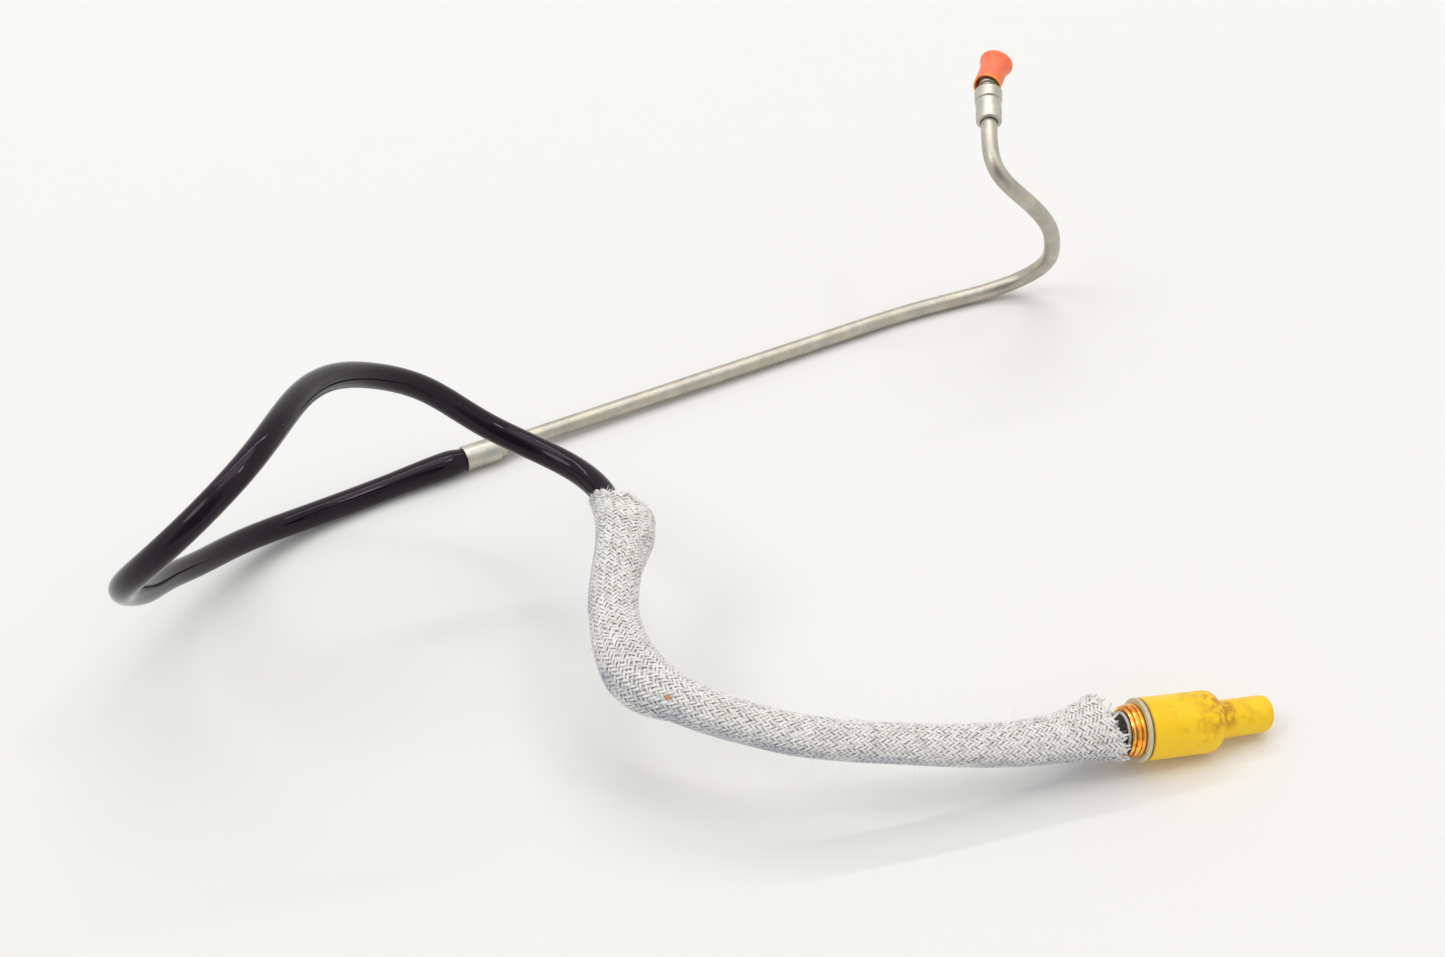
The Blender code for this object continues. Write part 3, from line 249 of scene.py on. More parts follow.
class Look:
    """A material, with short calls for the nodes that the looks share. Sizes are in metres."""

    def __init__(self, name):
        self.material = bpy.data.materials.new(name)
        self.material.use_nodes = True
        self.tree = self.material.node_tree
        self.shader = self.tree.nodes["Principled BSDF"]
        self.where = self.node("ShaderNodeTexCoord", "Object", {})

    def feed(self, socket, value):
        if isinstance(value, bpy.types.NodeSocket):
            self.tree.links.new(value, socket)
        elif socket.type == "RGBA":
            socket.default_value = (*value, 1.0)
        else:
            socket.default_value = value

    def node(self, kind, output, inputs, **settings):
        """A new node with its inputs fed. Gives the output asked for."""
        node = add_node(self.tree, kind, **settings)
        for socket, value in inputs.items():
            self.feed(node.inputs[socket], value)
        return node.outputs[output]

    def attribute(self, name, output="Fac"):
        return self.node("ShaderNodeAttribute", output, {}, attribute_name=name)

    def stretched(self, scale, vector=None):
        inputs = {"Vector": self.where if vector is None else vector, "Scale": scale}
        return self.node("ShaderNodeMapping", "Vector", inputs)

    def noise(self, size, detail=3.0, roughness=0.55, distortion=0.0, vector=None):
        inputs = {"Vector": self.where if vector is None else vector, "Scale": 1.0 / size}
        inputs.update({"Detail": detail, "Roughness": roughness, "Distortion": distortion})
        return self.node("ShaderNodeTexNoise", "Fac", inputs)

    def spots(self, size):
        return self.node("ShaderNodeTexVoronoi", "Distance", {"Vector": self.where, "Scale": 1.0 / size})

    def between(self, value, low, high, out_low=0.0, out_high=1.0):
        """out_low where value is under low, out_high where it is over high, and a slope between them."""
        inputs = {"Value": value, "From Min": low, "From Max": high, "To Min": out_low, "To Max": out_high}
        return self.node("ShaderNodeMapRange", "Result", inputs, interpolation_type="SMOOTHSTEP")

    def under(self, value, low, high):
        """1 where value is under low, 0 where it is over high."""
        return self.between(value, low, high, 1.0, 0.0)

    def band(self, value, rise, full, hold, fall):
        """1 from full to hold, fading to 0 at rise and at fall."""
        return self.product(self.between(value, rise, full), self.under(value, hold, fall))

    def patches(self, size, detail, roughness, low, high):
        """Soft-edged patches, 1 where a noise is over high."""
        return self.between(self.noise(size, detail, roughness), low, high)

    def spread(self, noise, low, high):
        """Values from low to high over a noise's usual range."""
        return self.between(noise, NOISE_LOW, NOISE_HIGH, low, high)

    def maths(self, operation, a, b):
        return self.node("ShaderNodeMath", 0, {0: a, 1: b}, operation=operation)

    def product(self, *values):
        result = values[0]
        for value in values[1:]:
            result = self.maths("MULTIPLY", result, value)
        return result

    def mix(self, share, a, b, blend="MIX"):
        return self.node("ShaderNodeMix", 2, {0: share, 6: a, 7: b}, data_type="RGBA", blend_type=blend)

    def stain_and_painted_light(self, color, shade, *shares):
        """The color, turned to the shade as far as the product of the shares says. It paints stains, and also
        painted shade and painted highlights.
        """
        return self.mix(self.product(*shares), color, shade)

    def ramp(self, value, stops):
        node = add_node(self.tree, "ShaderNodeValToRGB")
        points = node.color_ramp.elements
        while len(points) < len(stops):
            points.new(0.5)
        for point, (place, color) in zip(points, stops):
            point.position = place
            point.color = (*color, 1.0)
        self.feed(node.inputs["Fac"], value)
        return node.outputs["Color"]

    def tones(self, noise, dark, light):
        """Colors from dark to light over a noise's usual range."""
        return self.ramp(noise, [(NOISE_LOW, dark), (NOISE_HIGH, light)])

    def near(self, place, reach):
        """1 at a place on the surface, fading to 0 at reach from it."""
        distance = self.node("ShaderNodeVectorMath", "Value", {0: self.where, 1: place}, operation="DISTANCE")
        return self.under(distance, reach / 2, reach)

    def bump(self, height, depth, strength, under=None):
        inputs = {"Strength": strength, "Distance": depth, "Height": height}
        if under is not None:
            inputs["Normal"] = under
        return self.node("ShaderNodeBump", "Normal", inputs)

    def finish(self, **values):
        for key, value in values.items():
            self.feed(self.shader.inputs[key.replace("_", " ")], value)
        return self.material


def zinc_look(name, base, tint):
    """Dull zinc plate: finely grained, faintly mottled, with an olive cast and a few dark scuffs."""
    look = Look(name)
    fine = look.noise(0.0005, 3.0, 0.6)
    dark, light = [tuple(part * value for part in base) for value in (0.86, 1.14)]
    color = look.tones(look.noise(0.010), dark, light)
    film = [(0.35, (0.80, 0.83, 0.92)), (0.5, (1.0, 1.0, 1.0)), (0.65, (1.0, 0.95, 0.78))]
    color = look.mix(tint, color, look.ramp(look.noise(0.0045, 2.0, 0.5, 1.2), film), "MULTIPLY")
    grime = look.tones(look.noise(0.0006, 4.0, 0.7), (0.78, 0.77, 0.75), (1.0, 1.0, 1.0))
    color = look.mix(0.8, color, grime, "MULTIPLY")
    scuffs = look.patches(0.0011, 5.0, 0.7, 0.64, 0.74)
    color = look.stain_and_painted_light(color, (0.28, 0.25, 0.19), scuffs, 0.35)
    rough = look.spread(fine, 0.38, 0.48)
    grain = look.bump(fine, 0.00004, 0.5)
    return look.finish(Base_Color=color, Metallic=1.0, Roughness=rough, Normal=grain)


def gold_look():
    """Yellow chromate on turned steel: glossy, with turning marks and browner patches."""
    look = Look("gold_chromate_finish")
    along_axis = look.stretched((0.0, 0.0, 1.0), look.attribute("lathe", "Vector"))
    lines = look.noise(0.00012, 2.0, 0.5, vector=along_axis)
    chromate = [(0.32, (0.74, 0.25, 0.035)), (0.5, (0.98, 0.47, 0.07)), (0.68, (1.0, 0.62, 0.16))]
    color = look.ramp(look.noise(0.0035, 3.0, 0.6), chromate)
    soot = look.patches(0.0022, 4.0, 0.65, 0.60, 0.74)
    color = look.stain_and_painted_light(color, (0.22, 0.075, 0.015), soot, 0.6)
    rough = look.spread(lines, 0.12, 0.20)
    marks = look.bump(lines, 0.00001, 0.3)
    return look.finish(Base_Color=color, Metallic=1.0, Roughness=rough, Normal=marks)


def hose_look():
    """Black hose cover: glossy, a little dusty, with long shallow ripples and a purplish cast."""
    look = Look("hose_cover")
    dust = look.patches(0.0011, 4.0, 0.75, 0.58, 0.78)
    haze = look.patches(0.018, 3.0, 0.6, 0.35, 0.72)
    color = look.mix(haze, (0.0030, 0.0024, 0.0034), (0.0085, 0.0062, 0.0092))
    color = look.stain_and_painted_light(color, (0.045, 0.052, 0.030), dust, 0.30)
    specks = look.under(look.spots(0.0052), 0.020, 0.034)
    color = look.stain_and_painted_light(color, (0.30, 0.30, 0.26), specks, 0.45)
    rough = look.maths("ADD", look.between(haze, 0.0, 1.0, 0.07, 0.13), look.product(dust, 0.08))
    ripple = look.bump(look.noise(0.004, 2.0, 0.5), 0.00012, 0.35)
    normal = look.bump(look.noise(0.0005, 2.0, 0.6), 0.00001, 0.4, ripple)
    return look.finish(
        Base_Color=color, Roughness=rough, Normal=normal,
        Specular_IOR_Level=0.28, Specular_Tint=(1.0, 0.82, 0.98),
    )


def black_metal_look():
    """Black plating, with a painted highlight along the upper side of its lip's edge."""
    look = Look("black_plating")
    wear = look.patches(0.0016, 4.0, 0.7, 0.60, 0.72)
    color = look.stain_and_painted_light((0.006, 0.005, 0.006), (0.05, 0.045, 0.04), wear, 0.25)
    # painted highlight: a pale crescent on the edge of the lip, on its upper side only
    lip = look.band(look.attribute("axial"), -0.00548, -0.00540, -0.0049, -0.00475)
    top = look.between(look.attribute("upward"), -0.45, 0.10)
    color = look.stain_and_painted_light(color, (0.88, 0.87, 0.84), lip, top, 0.9)
    rough = look.spread(look.noise(0.003), 0.20, 0.36)
    grain = look.bump(look.noise(0.0004), 0.00002, 0.5)
    return look.finish(Base_Color=color, Roughness=rough, Specular_IOR_Level=0.35, Normal=grain)


def rubber_look():
    look = Look("seal_rubber_finish")
    cloud = look.noise(0.0012, 3.0, 0.6)
    color = look.tones(cloud, (0.012, 0.012, 0.012), (0.030, 0.029, 0.028))
    grain = look.bump(cloud, 0.00002, 0.5)
    return look.finish(Base_Color=color, Roughness=look.spread(cloud, 0.42, 0.6), Normal=grain)


def spring_look():
    look = Look("spring_wire_finish")
    streaks = look.noise(0.0009, 3.0, 0.6, vector=look.stretched((1.0, 1.0, 3.0)))
    color = look.tones(streaks, (0.36, 0.36, 0.38), (0.56, 0.56, 0.57))
    rough = look.spread(streaks, 0.25, 0.4)
    grain = look.bump(streaks, 0.00001, 0.4)
    return look.finish(Base_Color=color, Metallic=1.0, Roughness=rough, Normal=grain)


def ring_look():
    """Guard ring: pale olive-grey plastic with small brown spots, and painted shade along its edge next to
    the yellow cap.
    """
    look = Look("guard_ring_finish")
    color = look.tones(look.noise(0.004, 3.0, 0.6), (0.58, 0.52, 0.33), (0.69, 0.63, 0.43))
    spots = look.under(look.spots(0.0031), 0.10, 0.19)
    color = look.stain_and_painted_light(color, (0.20, 0.12, 0.05), spots, 0.75)
    # painted shade: darker along the face that meets the yellow cap's rim
    edge = look.between(look.attribute("axial"), 0.0011, 0.0018)
    color = look.stain_and_painted_light(color, (0.26, 0.24, 0.17), edge, 0.45)
    return look.finish(Base_Color=color, Roughness=0.42, Normal=look.bump(look.noise(0.0006), 0.00003, 0.5))


def red_look():
    """Red cap: soft satin plastic, a little lighter where it is thin at its rim."""
    look = Look("red_cap_plastic")
    color = look.tones(look.noise(0.005, 3.0, 0.6), (1.0, 0.17, 0.060), (1.0, 0.225, 0.100))
    rim = look.under(look.attribute("axial"), 0.0004, 0.0022)
    color = look.stain_and_painted_light(color, (1.0, 0.34, 0.04), rim, 0.7)
    return look.finish(
        Base_Color=color, Roughness=look.spread(look.noise(0.0012, 4.0, 0.6), 0.34, 0.50),
        Normal=look.bump(look.noise(0.0009), 0.00004, 0.5), Subsurface_Weight=0.12, Subsurface_Scale=0.002,
    )


def yellow_look():
    """Yellow cap: soft satin plastic with brown smudges on the shoulder, the body and the nose's root, and
    painted shade along its rim.
    """
    look = Look("yellow_cap_plastic")
    color = look.tones(look.noise(0.009, 3.0, 0.6), (1.0, 0.59, 0.006), (1.0, 0.66, 0.018))
    axial = look.attribute("axial")
    top = look.between(look.attribute("upward"), 0.0, 0.7)
    middle = look.between(look.attribute("upward"), -0.35, 0.15)
    smudges = [  # where along the axis, the side it is on, size, range of the noise, share and shade
        ((0.0215, 0.0255, 0.0285, 0.0315), top, 0.0030, (0.42, 0.60), 0.72, (0.50, 0.215, 0.006)),
        ((0.0165, 0.0200, 0.0240, 0.0265), middle, 0.0040, (0.48, 0.68), 0.42, (0.62, 0.30, 0.006)),
        ((0.0285, 0.0305, 0.0335, 0.0365), top, 0.0028, (0.40, 0.58), 0.66, (0.42, 0.13, 0.008)),
        ((0.0060, 0.0100, 0.0450, 0.0490), top, 0.0055, (0.48, 0.70), 0.45, (0.70, 0.38, 0.010)),
    ]
    for places, side, size, limits, share, shade in smudges:
        patch = look.between(look.noise(size, 4.0, 0.6, 0.4), *limits)
        color = look.stain_and_painted_light(color, shade, look.band(axial, *places), side, patch, share)
    specks = look.patches(0.0011, 3.0, 0.6, 0.60, 0.72)
    color = look.stain_and_painted_light(color, (0.45, 0.22, 0.01), specks, look.between(axial, 0.029, 0.033), 0.35)
    # painted shade: dark brown along the rim, where the cap meets the guard ring
    lip = look.under(axial, 0.0024, 0.0030)
    color = look.stain_and_painted_light(color, (0.36, 0.18, 0.02), lip, 0.65)
    tip = look.between(axial, 0.0488, 0.0500)
    color = look.stain_and_painted_light(color, (0.50, 0.26, 0.02), tip, look.between(look.noise(0.0025), 0.35, 0.6), 0.45)
    grain = look.bump(look.noise(0.0007), 0.00003, 0.5)
    return look.finish(
        Base_Color=color, Roughness=look.spread(look.noise(0.0016, 4.0, 0.6), 0.34, 0.50),
        Normal=look.bump(look.noise(0.0050, 2.0), 0.0003, 0.30, grain),
        Specular_IOR_Level=0.35, Subsurface_Weight=0.10, Subsurface_Scale=0.002,
    )


def fibre_look(name, pale, shade):
    """Glass fibre: pale, with painted shade at the yarns' edges and where they dive under others, painted
    blue grey shade on the side turned from the lamps, soiled at its ends.
    """
    look = Look(name)
    fibre = look.attribute("fibre", "Vector")
    streaks = look.noise(1.0, 3.0, 0.6, vector=look.stretched((260.0, 2.4, 1.0), fibre))
    color = look.mix(look.between(streaks, 0.25, 0.60), shade, pale)
    dull = look.patches(0.0032, 4.0, 0.65, 0.42, 0.68)
    color = look.stain_and_painted_light(color, (0.50, 0.475, 0.44), dull, 0.50)
    # painted shade: blue grey in soft patches on the side turned away from the lamps
    tone = look.patches(0.020, 3.0, 0.6, 0.30, 0.60)
    shaded = look.between(look.attribute("shaded"), -0.15, 0.55)
    color = look.stain_and_painted_light(color, (0.46, 0.485, 0.55), tone, shaded, 0.80)
    # painted shade: darker at each yarn's edges, in the crevices between yarns
    edge = look.between(look.attribute("edge"), 0.40, 1.0)
    color = look.stain_and_painted_light(color, (0.27, 0.26, 0.245), edge, 0.24)
    # painted shade: darker where a yarn dives under the others
    under = look.between(look.attribute("under"), 0.25, 0.95)
    color = look.stain_and_painted_light(color, (0.32, 0.31, 0.295), under, 0.28)
    soil = look.patches(0.0021, 5.0, 0.78, 0.575, 0.66)
    color = look.stain_and_painted_light(color, (0.13, 0.125, 0.125), soil, 0.65)
    rust = look.patches(0.0022, 4.0, 0.7, 0.50, 0.70)
    color = look.stain_and_painted_light(color, (0.34, 0.26, 0.19), look.attribute("frayed"), rust, 0.45)
    color = look.mix(look.near(ORANGE_SPECK, ORANGE_SPECK_REACH), color, (0.85, 0.30, 0.07))
    normal = look.bump(streaks, 0.00008, 0.7)
    return look.finish(
        Base_Color=color, Roughness=0.55, Normal=normal, Sheen_Weight=0.20, Sheen_Roughness=0.4
    )


def floor_look():
    look = Look("floor")
    return look.finish(Base_Color=(0.865, 0.860, 0.850), Roughness=0.9, Specular_IOR_Level=0.1)


# Routes and frames


def axis_frame(origin, axis):
    turn = Vector((0.0, 0.0, 1.0)).rotation_difference(Vector(axis))
    return Matrix.Translation(Vector(origin)) @ turn.to_matrix().to_4x4()


def direction(azimuth_from_x, rise):
    flat = math.cos(rise)
    return Vector((math.cos(azimuth_from_x) * flat, math.sin(azimuth_from_x) * flat, math.sin(rise)))


def lengths_along(points):
    steps = np.linalg.norm(np.diff(points, axis=0), axis=1)
    return np.concatenate([[0.0], np.cumsum(steps)])


def resampled(points, spacing):
    along = lengths_along(points)
    even = np.linspace(0.0, along[-1], max(2, int(round(along[-1] / spacing)) + 1))
    return np.stack([np.interp(even, along, points[:, k]) for k in range(3)], axis=1)


def smooth_route(points, spacing):
    """Points about a spacing apart on the natural cubic spline through the given points."""
    given = np.array([tuple(p) for p in points], dtype=float)
    gaps = np.linalg.norm(np.diff(given, axis=0), axis=1)
    count = len(given)
    system = np.eye(count)
    right = np.zeros((count, 3))
    slopes = np.diff(given, axis=0) / gaps[:, None]
    for i in range(1, count - 1):
        system[i, i - 1 : i + 2] = gaps[i - 1], 2 * (gaps[i - 1] + gaps[i]), gaps[i]
        right[i] = 6 * (slopes[i] - slopes[i - 1])
    bends = np.linalg.solve(system, right)
    fine = []
    for i, gap in enumerate(gaps):
        for t in np.linspace(0.0, gap, SPLINE_STEPS, endpoint=(i == count - 2)):
            u = gap - t
            cubic = (bends[i] * u**3 + bends[i + 1] * t**3) / (6 * gap)
            start = (given[i] / gap - bends[i] * gap / 6) * u
            stop = (given[i + 1] / gap - bends[i + 1] * gap / 6) * t
            fine.append(cubic + start + stop)
    return resampled(np.array(fine), spacing)


def arc(before, corner, after, radius, steps):
    """Points of the arc that rounds off a corner."""
    back = (before - corner).normalized()
    on = (after - corner).normalized()
    half = back.angle(on) / 2
    tangent = radius / math.tan(half)
    centre = corner + (back + on).normalized() * radius / math.sin(half)
    first = corner + back * tangent - centre
    turn_axis = first.cross(corner + on * tangent - centre).normalized()
    sweep = math.pi - 2 * half
    return [centre + Matrix.Rotation(sweep * k / steps, 3, turn_axis) @ first for k in range(steps + 1)]


def rounded_corners(corners, radii):
    line = [corners[0]]
    for before, corner, after, radius in zip(corners, corners[1:], corners[2:], radii):
        line += arc(before, corner, after, radius, ARC_STEPS)
    return [*line, corners[-1]]


def bell(window):
    """Weights for smoothing over a window of points. They add up to 1."""
    weights = np.hanning(window + 2)[1:-1]
    return weights / weights.sum()


def smoothed(values, weights):
    """The values blurred by the weights, with the first and last carried on past the ends."""
    return np.convolve(np.pad(values, len(weights) // 2, mode="edge"), weights, mode="valid")


def unit(rows):
    return rows / np.linalg.norm(rows, axis=1, keepdims=True)


def carried_frames(line):
    """Side, up and tangent vectors at each point, carried along the line without twist."""
    tangents = unit(np.gradient(line, axis=0))
    side = unit(np.cross(tangents[:1], [[0.0, 0.0, 1.0]]))[0]
    sides = []
    for tangent in tangents:
        side = side - tangent * side.dot(tangent)
        side = side / np.linalg.norm(side)
        sides.append(side)
    sides = np.array(sides)
    return sides, np.cross(tangents, sides), tangents


PIPE_END = Vector((*PIPE_MOUTH, HOSE_BULGE_OD / 2 + FLOOR_GAP))
PIPE_ALONG = (Vector((*PIPE_CORNERS_ON_TABLE[0], PIPE_OD / 2 + FLOOR_GAP)) - PIPE_END).normalized()
COUPLING_AXIS = direction(COUPLING_AZIMUTH, -COUPLING_DROP)
COUPLING_FRAME = axis_frame(COUPLING_PLACE, COUPLING_AXIS)
FITTING_AXIS = (Vector(PIPE_CORNERS_RAISED[-1]) - Vector(PIPE_CORNERS_RAISED[-2])).normalized()
FITTING_FRAME = axis_frame(PIPE_CORNERS_RAISED[-1], FITTING_AXIS)
HOSE_START = PIPE_FERRULE_LENGTH - PIPE_FERRULE_NECK - (PIPE_OD - PIPE_INSERT_OD) - FIT


def hose_line(spacing):
    end = Vector(COUPLING_PLACE) - COUPLING_AXIS * HOSE_END
    lead_in = [PIPE_END + PIPE_ALONG * HOSE_START, PIPE_END, PIPE_END - PIPE_ALONG * PIPE_INSERT_REACH]
    lead_out = [end - COUPLING_AXIS * NIPPLE_REACH, end - COUPLING_AXIS * NIPPLE_REACH / 2, end]
    return smooth_route([*lead_in, *HOSE_ROUTE, *lead_out], spacing)


# Meshes


def mesh_piece(name, points, faces, surface, body, slot, nodes=(), sharp=None, **attributes):
    """A piece from points and faces, with any attributes that its material reads at each point."""
    mesh = bpy.data.meshes.new(name)
    mesh.from_pydata([tuple(p) for p in points], [], [tuple(f) for f in faces])
    mesh.validate()
    mesh.materials.append(surface)
    mesh.shade_smooth()
    if sharp is not None:
        mesh.set_sharp_from_angle(angle=math.radians(sharp))
    for key, values in attributes.items():
        values = np.asarray(values, np.float32)
        kind = "FLOAT" if values.ndim == 1 else "FLOAT_VECTOR"
        field = mesh.attributes.new(key, kind, "POINT")
        field.data.foreach_set("value" if kind == "FLOAT" else "vector", values.ravel())
    piece = add_object(name, mesh)
    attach(piece, body)
    if nodes:
        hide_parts(*nodes)
    return piece


def tube_faces(rings, sides, closed_ends=True, start=0):
    """Faces of a tube whose points stand ring by ring from the start index."""
    ring = np.arange(sides)
    following = (ring + 1) % sides
    faces = []
    for i in range(rings - 1):
        a, b = start + i * sides, start + (i + 1) * sides
        faces.extend(zip(a + ring, a + following, b + following, b + ring))
    if closed_ends:
        faces.append(tuple(start + ring[::-1]))
        faces.append(tuple(start + (rings - 1) * sides + ring))
    return faces


def tube_points(line, radii, sides):
    side, up, _ = carried_frames(line)
    angles = 2 * np.pi * np.arange(sides) / sides
    out = side[:, None] * np.cos(angles)[None, :, None] + up[:, None] * np.sin(angles)[None, :, None]
    radii = np.broadcast_to(np.asarray(radii, float).reshape(len(line), -1), (len(line), sides))
    return (line[:, None] + out * radii[:, :, None]).reshape(-1, 3)


def outline(corners):
    """A profile from (radius, height) or (radius, height, fillet) corners."""
    line = []
    points = [Vector((radius, height, 0.0)) for radius, height, *_ in corners]
    for i, (corner, here) in enumerate(zip(corners, points)):
        if len(corner) < 3:
            line.append(here)
            continue
        before, after = points[i - 1], points[(i + 1) % len(points)]
        half = (before - here).angle(after - here) / 2
        room = FILLET_ROOM * min((before - here).length, (after - here).length)
        radius = min(corner[2], room * math.tan(half))
        line += arc(before, here, after, radius, FILLET_STEPS)
    return line


def split_long(profile, step):
    """The profile with extra points on its long runs, so that it can be dented and bent."""
    line = []
    for a, b in zip(profile, profile[1:]):
        count = max(1, int(math.ceil((b - a).length / step)))
        line.extend(a.lerp(b, k / count) for k in range(count))
    line.append(profile[-1])
    return line


def turned_faces(radius, closed):
    """Faces between the rings of a turned piece. An open profile starts and ends on the axis."""
    faces = []
    rings = len(radius)
    ring = np.arange(ROUND)
    following = (ring + 1) % ROUND
    for i in range(rings if closed else rings - 1):
        a, b = i * ROUND, ((i + 1) % rings) * ROUND
        if not closed and i == 0 and radius[0] < ON_AXIS:
            faces.extend(zip(np.zeros(ROUND, int), b + ring, b + following))
        elif not closed and i == rings - 2 and radius[-1] < ON_AXIS:
            faces.extend(zip(a + ring, np.full(ROUND, b), a + following))
        else:
            faces.extend(zip(a + ring, b + ring, b + following, a + following))
    return faces


def turned(name, corners, place, surface, body, slot, node, closed=True, reshape=None, step=None):
    """A turned piece in world space. reshape may move its points, given in its own frame."""
    profile = outline(corners)
    if step:
        profile = split_long(profile, step)
    angles = 2 * np.pi * np.arange(ROUND) / ROUND
    radius = np.array([p.x for p in profile])
    height = np.array([p.y for p in profile])
    across = [radius[:, None] * np.cos(angles), radius[:, None] * np.sin(angles)]
    upwards = np.repeat(height[:, None], ROUND, 1)
    lathe = np.stack([*across, upwards], axis=2).reshape(-1, 3)
    points = lathe if reshape is None else reshape(lathe)
    turn = np.array(place.to_3x3())
    world = points @ turn.T + np.array(place.translation)
    upward = unit(np.column_stack([lathe[:, :2], np.zeros(len(lathe))]) + 1e-12) @ turn.T
    faces = turned_faces(radius, closed)
    used = np.unique(np.concatenate([np.array(f) for f in faces]))
    renumbered = {int(before): after for after, before in enumerate(used)}
    faces = [tuple(renumbered[int(k)] for k in face) for face in faces]
    return mesh_piece(
        name, world[used], faces, surface, body, slot, [node], sharp=32,
        axial=lathe[used, 2], upward=upward[used, 2], lathe=lathe[used],
    )


def add_tube(name, line, radii, surface, slot, node, sharp):
    """A round tube along a line, closed at both ends, on the fixed body."""
    points = tube_points(line, radii, TUBE_SIDES)
    faces = tube_faces(len(line), TUBE_SIDES)
    return mesh_piece(name, points, faces, surface, "line", slot, [node], sharp=sharp)


# Hose


def add_hose(surface):
    line = hose_line(HOSE_STEP)
    along = lengths_along(line)
    gripped = PIPE_FERRULE_OD / 2 - PIPE_FERRULE_WALL - FIT
    bulge = HOSE_BULGE_OD / 2
    steps = np.array([0.0, HOSE_BULGE_REACH, PIPE_INSERT_REACH, HOSE_BULGE_END])
    radii = np.interp(along, HOSE_START + steps, [gripped, bulge, bulge, HOSE_OD / 2])
    radii = smoothed(radii, np.array([1, 2, 3, 2, 1]) / 9)
    hose = add_tube("hose_line", line, radii, surface, "hose_black", "hose", sharp=60)
    return hose, line, along[-1]


# Pipe end


def eased(line, window):
    """The line with its turns spread over so many points, its ends kept."""
    weights = bell(window)
    half = window // 2
    before = 2 * line[:1] - line[half:0:-1]
    after = 2 * line[-1:] - line[-2 : -half - 2 : -1]
    padded = np.concatenate([before, line, after])
    return np.stack([np.convolve(padded[:, k], weights, mode="valid") for k in range(3)], axis=1)


def add_pipe(surface):
    resting = [Vector((x, y, PIPE_OD / 2 + FLOOR_GAP)) for x, y in PIPE_CORNERS_ON_TABLE]
    resting[-1] += PIPE_LOW_SHIFT
    raised = [Vector(c) for c in PIPE_CORNERS_RAISED]
    start = PIPE_END - PIPE_ALONG * PIPE_INSERT_REACH
    corners = [start, *resting, *raised[:-1], raised[-1] + FITTING_AXIS * PIPE_SEAT_DEPTH]
    line = rounded_corners(corners, PIPE_BEND_RADII)
    taper_end = PIPE_INSERT_REACH + PIPE_FERRULE_LENGTH - PIPE_FERRULE_NECK
    taper_start = taper_end - (PIPE_OD - PIPE_INSERT_OD)
    along = (line[1] - line[0]).normalized()
    line = [line[0], line[0] + along * taper_start, line[0] + along * taper_end, *line[1:]]
    line = np.array([tuple(p) for p in line])
    swaged = line[:2]
    line = resampled(line[2:], PIPE_STEP)
    low = np.clip((PIPE_LOW_TOP - line[:, 2:]) / PIPE_LOW_FADE, 0, 1)
    line = eased(line, PIPE_SOFTENING) * (1 - low) + eased(line, PIPE_LOW_SOFTENING) * low
    line = np.concatenate([swaged, line])
    radii = np.full(len(line), PIPE_OD / 2)
    radii[:2] = PIPE_INSERT_OD / 2
    add_tube("pipe_steel", line, radii, surface, "zinc_plate", "steel_pipe", sharp=50)


def add_pipe_ferrule(surface):
    outer = PIPE_FERRULE_OD / 2
    wall = PIPE_FERRULE_WALL
    inner = outer - wall
    neck = PIPE_OD / 2 + FIT
    top = PIPE_FERRULE_LENGTH
    shelf = top - PIPE_FERRULE_NECK + FIT
    slope = 0.0006
    crimps, crimp_share, crimp_fade = 8, 0.010, 0.002
    profile = [
        (neck + wall, top, 0.0003),
        (neck + wall, shelf + slope, 0.0005),
        (outer, shelf, 0.0009),
        (outer, 0.0, wall / 3),
        (inner, 0.0),
        (inner, shelf - slope),
        (neck, shelf - slope),
        (neck, top),
    ]

    def squeezed(points):
        """The crimping jaws leave the wall a little flat between their seams."""
        angle = np.arctan2(points[:, 1], points[:, 0])
        height = points[:, 2]
        reach = np.clip(height / crimp_fade, 0, 1) * np.clip((shelf - height) / crimp_fade, 0, 1)
        scale = 1 - crimp_share * reach * (0.5 - 0.5 * np.cos(crimps * angle))
        return points * np.column_stack([scale, scale, np.ones(len(points))])

    place = axis_frame(PIPE_END, PIPE_ALONG)
    turned(
        "crimp_ferrule", profile, place, surface, "line", "zinc_plate", "pipe_ferrule",
        reshape=squeezed, step=0.001,
    )


def add_fitting(surface):
    sleeve, collar, boss, stub, bore = 0.00495, 0.0053, 0.0044, 0.0035, 0.0017
    shoulder = FITTING_FACE + 0.0010
    tip = FITTING_FACE + 0.0072
    groove_depth, groove_half, edge = 0.0007, 0.0009, 0.00012
    floor = stub - groove_depth
    profile = [(floor, tip, 0.0002), (stub, tip - groove_depth, 0.0002)]
    for groove in (0.0052, 0.0023):
        top = FITTING_FACE + groove + groove_half
        low = FITTING_FACE + groove - groove_half
        profile += [(stub, top, edge), (floor, top), (floor, low), (stub, low, edge)]
    seat_end = PIPE_SEAT_DEPTH + FIT
    profile += [
        (stub, shoulder),
        (boss, shoulder, 0.0002),
        (collar, FITTING_FACE, 0.0004),
        (collar, FITTING_COLLAR, 0.0004),
        (sleeve - 0.00015, FITTING_COLLAR - 0.00035),
        (sleeve, FITTING_COLLAR - 0.0008, 0.0003),
        (sleeve, 0.0, 0.0008),
        (PIPE_OD / 2 + FIT, 0.0),
        (PIPE_OD / 2 + FIT, seat_end),
        (bore, seat_end),
        (bore, tip),
    ]
    turned("stub_fitting", profile, FITTING_FRAME, surface, "line", "zinc_plate", "pipe_fitting")


